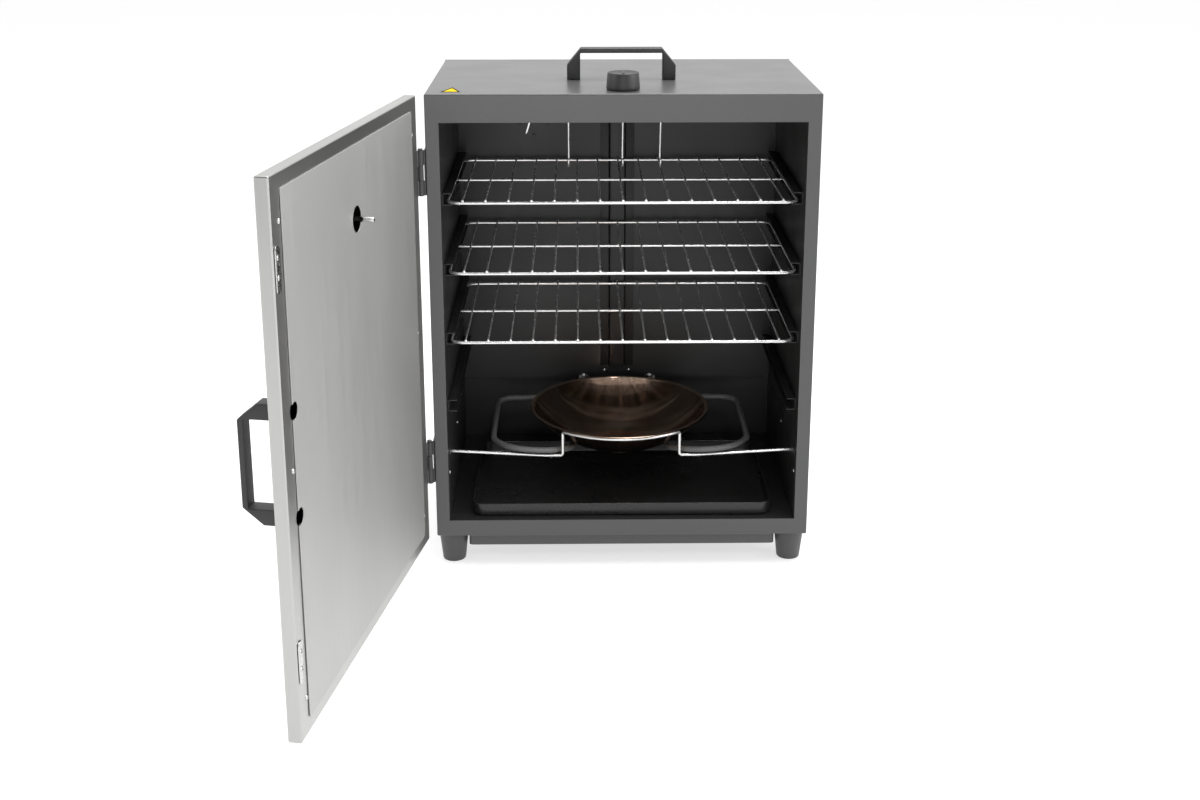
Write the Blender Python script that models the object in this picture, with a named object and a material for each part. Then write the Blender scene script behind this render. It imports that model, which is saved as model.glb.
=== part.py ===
"""Electric smoking and drying cabinet: a powder-coated steel case on rubber feet, a stainless liner and door,
four pairs of rack rails, three wire racks, meat hooks, a chip bowl over a tubular heater, and a drip tray.

Metres, +Z up. The door side of the case faces -Y. The origin is the centre of the base pan's flat underside.
The door is modelled shut, about its hinge axis, and then swung open by its parent empty.
"""

import math

import bmesh
import bpy
from mathutils import Matrix, Vector

# Case: outer box, sheet, and the frame round the opening
CASE_W = 0.400
CASE_D = 0.262
CASE_H = 0.480
CASE_SHEET = 0.0012
FRAME_SIDE = 0.014
FRAME_TOP = 0.029
FRAME_BOTTOM = 0.018
REAR_SHEET = 0.0010

# Base pan and feet
PAN_DROP = 0.016
PAN_SHEET = 0.0010
PAN_FRONT_GAP = 0.012
FOOT_H = 0.035
FOOT_TOP_R = 0.016
FOOT_BOTTOM_R = 0.0125
FOOT_INSET = 0.0005
FOOT_SETBACK = 0.022

# Liner
LINER_SHEET = 0.0008
LINER_BACK_GAP = 0.0082
LINER_FLANGE = 0.007

# Rails and racks
RAIL_LEVELS = 4
RACK_TOP_DROP = 0.0860
RACK_LOWEST_H = 0.1394
RAIL_REACH = 0.0095
RAIL_H = 0.0120
RAIL_SHEET = 0.0010
RAIL_SETBACK = 0.020
RAIL_END_GAP = 0.006
RACK_RIM_R = 0.0017
RACK_CROSS_R = 0.0015
RACK_WIRE_R = 0.0011
RACK_WIRES = 15
RACK_WIRE_MARGIN = 0.0157
RACK_SIDE_PLAY = 0.0015
RACK_BACK_PLAY = 0.0015
RACK_SETBACK = 0.0135
RACK_CORNER_R = 0.013

# Hanging rod, hooks, probe
ROD_R = 0.0030
ROD_DROP = 0.0150
ROD_BACK = 0.124
HOOK_R = 0.0013
HOOK_DROP = 0.046
HOOK_BEND_R = 0.0080
HOOK_PLACES = (-0.0565, 0.0024, 0.0435)
PROBE_R = 0.0016
PROBE_X = -0.093
PROBE_BACK = 0.138
PROBE_LEN = 0.042
PROBE_LEAN = math.radians(17)
PROBE_HOLE_R = 0.0056

# Bowl, its wire carriers, the heater and the drip tray
BOWL_R = 0.102
BOWL_RIM_H = 0.1025
BOWL_DEPTH = 0.044
BOWL_SHEET = 0.0009
BOWL_FOOT_R = 0.0205
BOWL_FOOT_H = 0.007
BOWL_AFT = 0.002
BOWL_LIP = 0.0045
CARRIER_R = 0.00175
CARRIER_GRIP = math.radians(40)
CARRIER_LOW = 0.072
CARRIER_WALL_H = 0.078
HEATER_R = 0.0032
HEATER_LEG_X = 0.142
HEATER_INNER_X = 0.054
HEATER_TERMINAL_X = 0.040
HEATER_TERMINAL_H = 0.092
HEATER_OUTER_H = 0.0815
HEATER_OVER_FLOOR = 0.0005
HEATER_BOWL_GAP = 0.0022
HEATER_TURN_FORE = 0.0375
HEATER_RUN_AFT = 0.0835
NUT_R = 0.0075
NUT_T = 0.0050
TRAY_SIDE_GAP = 0.0235
TRAY_BACK_GAP = 0.058
TRAY_H = 0.0145
TRAY_SHEET = 0.0009
TRAY_CORNER_R = 0.014
TRAY_SETBACK = 0.010
CHANNEL_W = 0.040
CHANNEL_WEB = 0.0158
CHANNEL_DEEP = 0.0060
CHANNEL_SHEET = 0.0010
CHANNEL_FOOT_H = 0.108

# Mains inlet in the rear cover
INLET_HALF = (0.0140, 0.0105)
INLET_SOCKET_HALF = (0.0105, 0.0070)
INLET_DEEP = 0.016
INLET_LIP = 0.004
INLET_FROM_SIDE = 0.060
INLET_H = 0.045

# Vent in the back
VENT_X = -0.0975
VENT_DROP = 0.034
VENT_PIPE_R = 0.0245
VENT_FLANGE_R = 0.0305
VENT_SHEET = 0.0010
VENT_PIN_R = 0.0022
VENT_WINDOW = math.radians(74)

# Handles
HANDLE_DEEP = 0.015
HANDLE_H = 0.033
HANDLE_BAR = 0.0050
HANDLE_LEG = 0.014
HANDLE_SHOULDER_H = 0.0175
HANDLE_SHOULDER_W = 0.0145
TOP_HANDLE_LEN = 0.115
TOP_HANDLE_BACK = 0.103
DOOR_HANDLE_LEN = 0.105
DOOR_HANDLE_FROM_EDGE = 0.024
HANDLE_SCREW_R = 0.0024

# Thermostat
KNOB_R = 0.0172
KNOB_TOP_R = 0.0159
KNOB_H = 0.017
KNOB_BACK = 0.030
SHAFT_R = 0.0030
THERMOSTAT_SIDE = 0.034
THERMOSTAT_H = 0.020

# Door
DOOR_OPEN = math.radians(100)
DOOR_T = 0.012
DOOR_SHEET = 0.0008
DOOR_FLANGE = 0.026
DOOR_STANDOFF = 0.0022
DOOR_PLATE_SIDE = 0.020
DOOR_PLATE_END = 0.013
DOOR_PLATE_T = 0.0008
THERMO_DROP = 0.0795
THERMO_HOLE_R = 0.012
THERMO_R = 0.026
THERMO_T = 0.011
STEM_R = 0.0021
STEM_REACH = 0.017
STEM_BUSH_R = 0.0045
STEM_NUT_R = 0.0085
STEM_NUT_T = 0.0035
HANDLE_HOLE_R = 0.0075
CATCH_W = 0.010
CATCH_H = 0.038
CATCH_T = 0.0008
CATCH_FROM_EDGE = 0.0075
CATCH_FROM_BOTTOM = 0.072
CATCH_FROM_TOP = 0.074

# Hinges
HINGE_OUT = 0.0050
HINGE_FORE = 0.0005
HINGE_H = 0.047
HINGE_FROM_BOTTOM = 0.086
HINGE_FROM_TOP = 0.080
KNUCKLE_R = 0.0030
PIN_R = 0.0016
LEAF_T = 0.0013
LEAF_W = 0.022

# Clearances
GAP = 0.0003
RUN = 0.0001
KNUCKLE_GAP = 0.0004
HOLE_CLEARANCE = 0.0006

# Worked out from the sizes above
CASE_BOTTOM = PAN_DROP
FRONT = -CASE_D / 2
BACK = CASE_D / 2
SIDE = CASE_W / 2
INNER_X = SIDE - FRAME_SIDE
INNER_LOW = CASE_BOTTOM + FRAME_BOTTOM
INNER_HIGH = CASE_BOTTOM + CASE_H - FRAME_TOP
INNER_BACK = BACK - REAR_SHEET - LINER_BACK_GAP - LINER_SHEET
CASE_TOP = CASE_BOTTOM + CASE_H
HINGE_AXIS = Vector((-SIDE - HINGE_OUT, FRONT - HINGE_FORE, 0.0))
RACK_X = INNER_X - GAP - RAIL_SHEET - 2 * GAP - RACK_RIM_R - RACK_SIDE_PLAY
RACK_BACK = INNER_BACK - GAP - CHANNEL_DEEP - RACK_BACK_PLAY - RACK_RIM_R
RACK_PITCH = 2 * (RACK_X - RACK_WIRE_MARGIN) / (RACK_WIRES - 1)
RACK_TOP = INNER_HIGH - RACK_TOP_DROP
RAIL_PITCH = (RACK_TOP - CASE_BOTTOM - RACK_LOWEST_H) / (RAIL_LEVELS - 1)
BOWL_Y = (FRONT + INNER_BACK) / 2 + BOWL_AFT
BOWL_RIM_Z = CASE_BOTTOM + BOWL_RIM_H
BOWL_FLOOR_Z = BOWL_RIM_Z - BOWL_DEPTH
BOWL_WALL_R = BOWL_R - BOWL_LIP
CARRIER_ARC_R = BOWL_R - GAP - CARRIER_R
CARRIER_UP_X = CARRIER_ARC_R * math.sin(CARRIER_GRIP)
CARRIER_UP_Y = CARRIER_ARC_R * math.cos(CARRIER_GRIP)
VENT_Z = INNER_HIGH - VENT_DROP
THERMO_Z = CASE_TOP - THERMO_DROP
DOOR_IN = FRONT - DOOR_STANDOFF
DOOR_OUT = DOOR_IN - DOOR_T
ROD_Y = FRONT + ROD_BACK
ROD_Z = INNER_HIGH - ROD_DROP


def clear_scene():
    for thing in list(bpy.data.objects):
        bpy.data.objects.remove(thing)


def finish(name, colour, roughness, metallic):
    material = bpy.data.materials.new(name)
    material.use_nodes = True
    shader = material.node_tree.nodes["Principled BSDF"]
    shader.inputs["Base Color"].default_value = (*colour, 1.0)
    shader.inputs["Roughness"].default_value = roughness
    shader.inputs["Metallic"].default_value = metallic
    return material


def make(name, mesh_maker, material, parent=None, at=(0, 0, 0), smooth=False):
    """An object from what mesh_maker leaves in a new bmesh, at a place in its parent's space."""
    bm = bmesh.new()
    mesh_maker(bm)
    bmesh.ops.recalc_face_normals(bm, faces=bm.faces)
    mesh = bpy.data.meshes.new(name)
    bm.to_mesh(mesh)
    bm.free()
    thing = bpy.data.objects.new(name, mesh)
    bpy.context.scene.collection.objects.link(thing)
    if material is not None:
        mesh.materials.append(material)
    if smooth:
        mesh.shade_smooth()
        mesh.set_sharp_from_angle(angle=math.radians(40))
    thing.parent = parent
    thing.location = at
    return thing


def block(low, high):
    """A box between two corners."""
    low, high = Vector(low), Vector(high)

    def build(bm):
        made = bmesh.ops.create_cube(bm, size=1.0)["verts"]
        size = high - low
        bmesh.ops.scale(bm, vec=size, verts=made)
        bmesh.ops.translate(bm, vec=(low + high) / 2, verts=made)

    return build


def several(*makers):
    def build(bm):
        for maker in makers:
            maker(bm)

    return build


def prism(outline, low, high, axis):
    """A flat outline, pushed along X, Y or Z from low to high. Its points are the other two coordinates."""
    places = {"X": (1, 2, 0), "Y": (0, 2, 1), "Z": (0, 1, 2)}[axis]

    def point(flat, along):
        spot = [0.0, 0.0, 0.0]
        spot[places[0]], spot[places[1]], spot[places[2]] = flat[0], flat[1], along
        return spot

    def build(bm):
        near = [bm.verts.new(point(flat, low)) for flat in outline]
        far = [bm.verts.new(point(flat, high)) for flat in outline]
        bm.faces.new(near)
        bm.faces.new(far)
        for i in range(len(outline)):
            j = (i + 1) % len(outline)
            bm.faces.new((near[i], near[j], far[j], far[i]))

    return build


def circle(radius, sides, centre=(0.0, 0.0)):
    turn = 2 * math.pi / sides
    return [
        (centre[0] + radius * math.cos(i * turn), centre[1] + radius * math.sin(i * turn))
        for i in range(sides)
    ]


def drum(radius, low, high, axis, sides=24, centre=(0.0, 0.0)):
    return prism(circle(radius, sides, centre), low, high, axis)


def rounded(half_x, half_y, radius, steps=4, centre=(0.0, 0.0)):
    """A rectangle with round corners, anticlockwise."""
    points = []
    for quarter, (sx, sy) in enumerate(((1, 1), (-1, 1), (-1, -1), (1, -1))):
        for i in range(steps + 1):
            angle = (quarter + i / steps) * math.pi / 2
            x = sx * (half_x - radius) + radius * math.cos(angle)
            y = sy * (half_y - radius) + radius * math.sin(angle)
            points.append((centre[0] + x, centre[1] + y))
    return points


def turned(outline, sides, axis="Z"):
    """A closed outline of (radius, height) points, turned about the axis. Points at radius 0 are poles."""
    turn_to = {"Z": Matrix(), "Y": Matrix.Rotation(math.pi / 2, 4, "X")}

    def build(bm):
        rings = []
        for radius, height in outline:
            if radius == 0:
                rings.append([bm.verts.new(turn_to[axis] @ Vector((0, 0, height)))] * sides)
                continue
            ring = circle(radius, sides)
            rings.append([bm.verts.new(turn_to[axis] @ Vector((x, y, height))) for x, y in ring])
        for near, far in zip(rings, rings[1:] + rings[:1]):
            for i in range(sides):
                j = (i + 1) % sides
                corners = list(dict.fromkeys((near[i], near[j], far[j], far[i])))
                if len(corners) > 2:
                    bm.faces.new(corners)

    return build


def smooth_route(points, steps):
    """A Catmull-Rom curve through the points, with a few steps to each span."""
    points = [Vector(p) for p in points]
    ends = [2 * points[0] - points[1], *points, 2 * points[-1] - points[-2]]
    route = []
    for a, b, c, d in zip(ends, ends[1:], ends[2:], ends[3:]):
        for i in range(steps):
            t = i / steps
            square = (2 * a - 5 * b + 4 * c - d) * t**2
            cubic = (3 * b - a - 3 * c + d) * t**3
            route.append(0.5 * (2 * b + (c - a) * t + square + cubic))
    return [*route, points[-1]]


def tube(route, radius, sides=8, closed=False):
    """A round bar swept along a route, without twist."""
    route = [Vector(p) for p in route]
    count = len(route)

    def heading(i):
        before = route[(i - 1) % count] if closed or i > 0 else route[i]
        after = route[(i + 1) % count] if closed or i < count - 1 else route[i]
        return (after - before).normalized()

    def build(bm):
        along = heading(0)
        up = along.orthogonal().normalized()
        rings = []
        for i, spot in enumerate(route):
            turn = along.rotation_difference(heading(i))
            up = turn @ up
            along = heading(i)
            side = along.cross(up).normalized()
            ring = []
            for k in range(sides):
                angle = 2 * math.pi * (k + 0.5) / sides
                ring.append(bm.verts.new(spot + radius * (math.cos(angle) * up + math.sin(angle) * side)))
            rings.append(ring)
        pairs = list(zip(rings, rings[1:]))
        if closed:
            pairs.append((rings[-1], rings[0]))
        else:
            bm.faces.new(rings[0])
            bm.faces.new(rings[-1])
        for near, far in pairs:
            for k in range(sides):
                m = (k + 1) % sides
                bm.faces.new((near[k], near[m], far[m], far[k]))

    return build


def arc(centre, radius, start, end, steps):
    """Flat points round a centre, from one angle to another, both ends included."""
    return [
        (
            centre[0] + radius * math.cos(start + (end - start) * i / steps),
            centre[1] + radius * math.sin(start + (end - start) * i / steps),
        )
        for i in range(steps + 1)
    ]


def shape_with(target, operation, mesh_maker, label):
    """Cuts a helper shape out of the target, or joins it on. The helper stays out of the render."""
    helper = make(f"{target.name}.{label}", mesh_maker, None, target.parent, target.location)
    helper.hide_render = True
    helper.display_type = "WIRE"
    modifier = target.modifiers.new(label, "BOOLEAN")
    modifier.operation = operation
    modifier.solver = "EXACT"
    modifier.object = helper


def cut(target, mesh_maker, label):
    shape_with(target, "DIFFERENCE", mesh_maker, label)


def fuse(target, mesh_maker, label):
    shape_with(target, "UNION", mesh_maker, label)


def case(paint):
    sheet = CASE_SHEET
    low = (-SIDE, FRONT, CASE_BOTTOM)
    high = (SIDE, BACK - REAR_SHEET - GAP, CASE_TOP)
    body = make("outer_case", block(low, high), paint)
    inside = block(
        (-SIDE + sheet, FRONT + sheet, CASE_BOTTOM + sheet), (SIDE - sheet, BACK + sheet, CASE_TOP - sheet)
    )
    cut(body, inside, "inside")
    opening = block((-INNER_X, FRONT - sheet, INNER_LOW), (INNER_X, FRONT + 2 * sheet, INNER_HIGH))
    cut(body, opening, "opening")
    through_top = (CASE_TOP - 2 * sheet, CASE_TOP + sheet)
    cut(body, drum(SHAFT_R + HOLE_CLEARANCE, *through_top, "Z", 16, knob_centre()), "shaft_hole")
    return body


def knob_centre():
    return (0.0, FRONT + KNOB_BACK)


def rear_cover(paint):
    low = (-SIDE, BACK - REAR_SHEET, CASE_BOTTOM)
    cover = make("rear_cover", block(low, (SIDE, BACK, CASE_TOP)), paint)
    pipe_hole = drum(
        VENT_PIPE_R + VENT_SHEET + GAP, BACK - 0.01, BACK + 0.01, "Y", 32, (VENT_X, VENT_Z)
    )
    cut(cover, pipe_hole, "vent_hole")
    x, z = inlet_centre()
    half_w, half_h = INLET_HALF
    hole = block((x - half_w, BACK - 0.01, z - half_h), (x + half_w, BACK + 0.01, z + half_h))
    cut(cover, hole, "inlet_hole")


def inlet_centre():
    return (SIDE - INLET_FROM_SIDE, CASE_BOTTOM + INLET_H)


def power_inlet(plastic):
    x, z = inlet_centre()
    half_w, half_h = INLET_HALF[0] - GAP, INLET_HALF[1] - GAP
    lip = INLET_LIP
    socket_w, socket_h = INLET_SOCKET_HALF
    rear_y = BACK + GAP
    inner_y = BACK - INLET_DEEP + LINER_BACK_GAP
    body = block((x - half_w, inner_y, z - half_h), (x + half_w, rear_y + 0.001, z + half_h))
    inlet = make("power_inlet", body, plastic)
    half_w, half_h = half_w + lip, half_h + lip
    fuse(inlet, block((x - half_w, rear_y, z - half_h), (x + half_w, rear_y + 0.002, z + half_h)), "lip")
    socket = block((x - socket_w, BACK - 0.005, z - socket_h), (x + socket_w, BACK + 0.01, z + socket_h))
    cut(inlet, socket, "socket")


def liner(steel):
    sheet = LINER_SHEET
    front = FRONT + CASE_SHEET + GAP
    outer_low = (-INNER_X - sheet, front, INNER_LOW - sheet)
    outer_high = (INNER_X + sheet, INNER_BACK + sheet, INNER_HIGH + sheet)
    tub = make("inner_liner", block(outer_low, outer_high), steel)
    reach = sheet + LINER_FLANGE
    flange = block(
        (-INNER_X - reach, front, INNER_LOW - reach), (INNER_X + reach, front + sheet, INNER_HIGH + reach)
    )
    fuse(tub, flange, "flange")
    cut(tub, block((-INNER_X, front - sheet, INNER_LOW), (INNER_X, INNER_BACK, INNER_HIGH)), "inside")
    through = (INNER_BACK - 0.002, INNER_BACK + 0.004)
    cut(
        tub,
        drum(VENT_PIPE_R + VENT_SHEET + GAP, *through, "Y", 32, (VENT_X, VENT_Z)),
        "vent_hole",
    )
    terminal_z = CASE_BOTTOM + HEATER_TERMINAL_H
    terminals = [
        drum(HEATER_R + HOLE_CLEARANCE, *through, "Y", 12, (side * HEATER_TERMINAL_X, terminal_z))
        for side in (-1, 1)
    ]
    cut(tub, several(*terminals), "terminal_holes")
    cut(
        tub,
        drum(PROBE_HOLE_R, INNER_HIGH - 0.002, INNER_HIGH + 0.004, "Z", 12, (PROBE_X, FRONT + PROBE_BACK)),
        "probe_hole",
    )
    across = (-SIDE, SIDE)
    wire_hole = CARRIER_R + HOLE_CLEARANCE
    cut(
        tub,
        several(
            drum(ROD_R + GAP, *across, "X", 12, (ROD_Y, ROD_Z)),
            drum(wire_hole, *across, "X", 8, (BOWL_Y - CARRIER_UP_Y, CASE_BOTTOM + CARRIER_WALL_H)),
        ),
        "bar_holes",
    )
    rear_wire = [
        drum(wire_hole, *through, "Y", 8, (side * CARRIER_UP_X, CASE_BOTTOM + CARRIER_LOW))
        for side in (-1, 1)
    ]
    cut(tub, several(*rear_wire), "rear_wire_holes")


def base(paint, rubber):
    half_x = SIDE - FOOT_INSET - 2 * FOOT_TOP_R - 0.001
    low = (-half_x, FRONT + PAN_FRONT_GAP, 0.0)
    high = (half_x, BACK - PAN_FRONT_GAP, CASE_BOTTOM - GAP)
    pan = make("base_pan", block(low, high), paint)
    s = PAN_SHEET
    cut(pan, block((low[0] + s, low[1] + s, s), (high[0] - s, high[1] - s, high[2] + s)), "inside")
    outline = [
        (0, -FOOT_H),
        (FOOT_BOTTOM_R - 0.001, -FOOT_H),
        (FOOT_BOTTOM_R, -FOOT_H + 0.0015),
        (FOOT_TOP_R, -0.003),
        (FOOT_TOP_R, -GAP),
        (0, -GAP),
    ]
    across = SIDE - FOOT_INSET - FOOT_TOP_R
    foot = turned(outline, 24)
    for side, x in (("left", -across), ("right", across)):
        for end, y in (("front", FRONT + FOOT_SETBACK), ("rear", BACK - FOOT_SETBACK)):
            make(f"foot_{end}_{side}", foot, rubber, at=(x, y, CASE_BOTTOM), smooth=True)


def rack_heights():
    return [RACK_TOP - level * RAIL_PITCH for level in range(RAIL_LEVELS)]


def rails(steel):
    s = RAIL_SHEET
    web = INNER_X - GAP
    tip = INNER_X - RAIL_REACH
    for level, z in enumerate(rack_heights(), start=1):
        low = z - RACK_RIM_R - GAP - s
        high = low + RAIL_H
        outline = [
            (web, low),
            (web, high),
            (tip, high),
            (tip, high - s),
            (web - s, high - s),
            (web - s, low + s),
            (tip, low + s),
            (tip, low),
        ]
        for side, sign in (("left", -1), ("right", 1)):
            mirrored = [(sign * x, height) for x, height in outline]
            channel = prism(mirrored, FRONT + RAIL_SETBACK, INNER_BACK - RAIL_END_GAP, "Y")
            make(f"rail_{side}_{level}", channel, steel)


def rack(name, z, chrome):
    """A bent rim of thick wire, with one cross wire under and fifteen long wires over it."""
    front = FRONT + RACK_SETBACK + RACK_RIM_R
    middle = (front + RACK_BACK) / 2
    half_y = (RACK_BACK - front) / 2
    path = [(x, y, 0) for x, y in rounded(RACK_X, half_y, RACK_CORNER_R, 3)]
    grid = make(name, tube(path, RACK_RIM_R, 6, closed=True), chrome, at=(0, middle, z), smooth=True)
    over = RACK_RIM_R + 0.7 * RACK_WIRE_R
    long_wires = [
        tube(((x, -half_y - RACK_RIM_R / 2, over), (x, half_y + RACK_RIM_R / 2, over)), RACK_WIRE_R, 6)
        for x in ((i - (RACK_WIRES - 1) / 2) * RACK_PITCH for i in range(RACK_WIRES))
    ]
    fuse(grid, tube(((-RACK_X, 0, 0.0004), (RACK_X, 0, 0.0004)), RACK_CROSS_R, 6), "cross_wire")
    fuse(grid, several(*long_wires), "long_wires")


def hanging_rod(steel):
    reach = INNER_X + 0.004
    make("hanging_rod", drum(ROD_R, -reach, reach, "X", 12, (ROD_Y, ROD_Z)), steel, smooth=True)


def hook_route():
    """An S in the YZ plane: a small bend over the rod, a leaning shank and a wider bend below."""
    over = ROD_R + GAP + HOOK_R
    upper = arc((0, 0), over, math.radians(-40), math.radians(180), 8)
    lower = arc((0, -HOOK_DROP), HOOK_BEND_R, 0.0, -math.radians(195), 8)
    shank = [(-over * 0.95, -0.006), (0.0015, -HOOK_DROP * 0.45), (HOOK_BEND_R * 0.97, -HOOK_DROP + 0.006)]
    return [(0, y, z) for y, z in [*upper, *shank, *lower]]


def hooks(chrome):
    for number, x in enumerate(HOOK_PLACES, start=1):
        make(f"s_hook_{number}", tube(hook_route(), HOOK_R, 6), chrome, at=(x, ROD_Y, ROD_Z), smooth=True)


def probe(steel):
    tilt = Vector((-math.sin(PROBE_LEAN), 0, -math.cos(PROBE_LEAN)))
    top = Vector((PROBE_X + 0.002, FRONT + PROBE_BACK, INNER_HIGH + 0.004))
    make("sensor_probe", tube((top, top + tilt * PROBE_LEN), PROBE_R, 8), steel, smooth=True)


def bowl_wall(share, lift=0.0):
    """A point of the bowl's wall, as (radius, height): share 0 is at the foot ring and 1 at the lip."""
    radius = BOWL_FOOT_R + (BOWL_WALL_R - BOWL_FOOT_R) * share
    rise = 0.9 * share**2 + 0.1 * share**12
    return (radius, BOWL_FLOOR_Z + (BOWL_DEPTH - BOWL_SHEET) * rise + lift)


def bowl_outline():
    """Half of the bowl's section: a dished floor, a flaring wall, a flat lip and a foot ring."""
    rim, floor, s = BOWL_RIM_Z, BOWL_FLOOR_Z, BOWL_SHEET
    shares = [i / 9 for i in range(10)]
    top = [(0, floor + s), *(bowl_wall(share, s) for share in shares[:-1]), (BOWL_WALL_R - s / 2, rim)]
    lip_edge = [(BOWL_R, rim), (BOWL_R, rim - s)]
    below = [bowl_wall(share) for share in reversed(shares[1:])]
    low = floor - BOWL_FOOT_H
    foot = [
        (BOWL_FOOT_R + s, floor),
        (BOWL_FOOT_R, low),
        (BOWL_FOOT_R - 2 * s, low),
        (BOWL_FOOT_R - 2 * s, floor - s),
        (0, floor - s),
    ]
    return top + lip_edge + below + foot


def bowl(steel):
    make("chip_bowl", turned(bowl_outline(), 32), steel, at=(0, BOWL_Y, 0), smooth=True)


def carriers(chrome):
    """Two wires under the bowl's lip. The front one runs to the side walls, the rear one to the back wall."""
    under_lip = BOWL_RIM_Z - BOWL_SHEET - GAP - CARRIER_R
    low = CASE_BOTTOM + CARRIER_LOW
    wall_z = CASE_BOTTOM + CARRIER_WALL_H
    bend = 0.002
    into_wall = 0.003
    side_wall = INNER_X + into_wall
    back_wall = INNER_BACK + into_wall - BOWL_Y
    front_run = [
        (-side_wall, -CARRIER_UP_Y, wall_z),
        (-INNER_X + 0.004, -CARRIER_UP_Y, wall_z - 0.0003),
        (-CARRIER_UP_X - 0.018, -CARRIER_UP_Y, low),
        (-CARRIER_UP_X - bend, -CARRIER_UP_Y, low),
    ]
    rear_run = [(-CARRIER_UP_X, back_wall, low), (-CARRIER_UP_X, CARRIER_UP_Y + bend, low)]
    for name, sign, run in (("bowl_carrier_front", -1, front_run), ("bowl_carrier_rear", 1, rear_run)):
        rise = [
            (-CARRIER_UP_X, sign * CARRIER_UP_Y, low + bend),
            (-CARRIER_UP_X, sign * CARRIER_UP_Y, under_lip - bend),
        ]
        grip = []
        for i in range(13):
            angle = -CARRIER_GRIP + 2 * CARRIER_GRIP * i / 12
            grip.append((CARRIER_ARC_R * math.sin(angle), sign * CARRIER_ARC_R * math.cos(angle), under_lip))
        left = run + rise
        right = [(-x, y, z) for x, y, z in reversed(left)]
        make(name, tube([*left, *grip, *right], CARRIER_R, 6), chrome, at=(0, BOWL_Y, 0), smooth=True)


def heater_route():
    """Half of the heater's route, from a terminal in the back wall to the middle of the bowl."""
    base_z = CASE_BOTTOM
    turn_r = (HEATER_LEG_X - HEATER_INNER_X) / 2
    turn_x = -(HEATER_LEG_X + HEATER_INNER_X) / 2
    turn_y = BOWL_Y - HEATER_TURN_FORE
    rear_y = BOWL_Y + HEATER_RUN_AFT
    outer_z = base_z + HEATER_OUTER_H
    corner = 0.020
    route = [
        (-HEATER_TERMINAL_X, INNER_BACK + 0.006, base_z + HEATER_TERMINAL_H),
        (-HEATER_TERMINAL_X, INNER_BACK - 0.018, base_z + HEATER_TERMINAL_H),
        (-HEATER_TERMINAL_X - 0.006, INNER_BACK - 0.034, base_z + HEATER_TERMINAL_H - 0.003),
        (-HEATER_TERMINAL_X - 0.026, rear_y + 0.002, outer_z + 0.003),
        (-HEATER_LEG_X + corner * 1.6, rear_y, outer_z),
    ]
    for x, y in arc((-HEATER_LEG_X + corner, rear_y - corner), corner, math.pi / 2, math.pi, 3):
        route.append((x, y, outer_z))
    front_turn = arc((turn_x, turn_y), turn_r, math.pi, 2 * math.pi, 8)
    inner_r = math.hypot(HEATER_INNER_X, HEATER_TURN_FORE)
    bowl_z = bowl_wall((inner_r - BOWL_FOOT_R) / (BOWL_WALL_R - BOWL_FOOT_R))[1]
    inner_z = bowl_z - HEATER_R - HEATER_BOWL_GAP
    fall = (0, 0, 0, 0, 0.053, 0.173, 0.373, 0.667, 1)
    for (x, y), share in zip(front_turn, fall):
        route.append((x, y, outer_z + (inner_z - outer_z) * share))
    under_z = BOWL_FLOOR_Z + HEATER_OVER_FLOOR
    route.append((-HEATER_INNER_X, (turn_y + BOWL_Y) / 2, (inner_z + under_z) / 2 - 0.002))
    for x, y in arc((0, BOWL_Y), HEATER_INNER_X, math.pi, math.pi / 2, 5):
        route.append((x, y, under_z))
    return route


def heater(dark_steel, steel):
    half = heater_route()
    other = [(-x, y, z) for x, y, z in reversed(half[:-1])]
    make("heating_element", tube(smooth_route([*half, *other], 2), HEATER_R, 6), dark_steel, smooth=True)
    z = CASE_BOTTOM + HEATER_TERMINAL_H
    low = INNER_BACK - GAP - NUT_T
    for side, x in (("left", -HEATER_TERMINAL_X), ("right", HEATER_TERMINAL_X)):
        nut = make(f"heater_nut_{side}", drum(NUT_R, low, low + NUT_T, "Y", 6, (x, z)), steel)
        cut(nut, drum(HEATER_R + 2 * GAP, low - GAP, low + NUT_T + GAP, "Y", 12, (x, z)), "bore")


def tray(enamel):
    front, back = FRONT + TRAY_SETBACK, INNER_BACK - TRAY_BACK_GAP
    centre = (0, (front + back) / 2)
    half_x, half_y = INNER_X - TRAY_SIDE_GAP, (back - front) / 2
    low = INNER_LOW + GAP
    s = TRAY_SHEET
    outline = rounded(half_x, half_y, TRAY_CORNER_R, 4, centre)
    pan = make("drip_tray", prism(outline, low, low + TRAY_H, "Z"), enamel, smooth=True)
    inner = rounded(half_x - s, half_y - s, TRAY_CORNER_R - s, 4, centre)
    cut(pan, prism(inner, low + s, low + TRAY_H + s, "Z"), "inside")


def wiring_channel(steel):
    back = INNER_BACK - GAP
    fore = back - CHANNEL_DEEP
    s = CHANNEL_SHEET
    half_w, half_web = CHANNEL_W / 2, CHANNEL_WEB / 2
    outline = [
        (-half_w, back),
        (-half_w, back - s),
        (-half_web - 0.0018, back - s),
        (-half_web, fore),
        (half_web, fore),
        (half_web + 0.0018, back - s),
        (half_w, back - s),
        (half_w, back),
        (half_web + 0.0008, back),
        (half_web - s, fore + s),
        (-half_web + s, fore + s),
        (-half_web - 0.0008, back),
    ]
    make("wiring_channel", prism(outline, CASE_BOTTOM + CHANNEL_FOOT_H, INNER_HIGH - GAP, "Z"), steel)


def sector(radius, middle, width, low, high, steps=5):
    """A wedge about the Y axis that leaves a hub and a rim, for a vent window."""
    inner, outer = radius * 0.30, radius * 0.86
    far = arc((0, 0), outer, middle - width / 2, middle + width / 2, steps)
    near = arc((0, 0), inner, middle + width / 2, middle - width / 2, steps)
    return prism(far + near, low, high, "Y")


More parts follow.
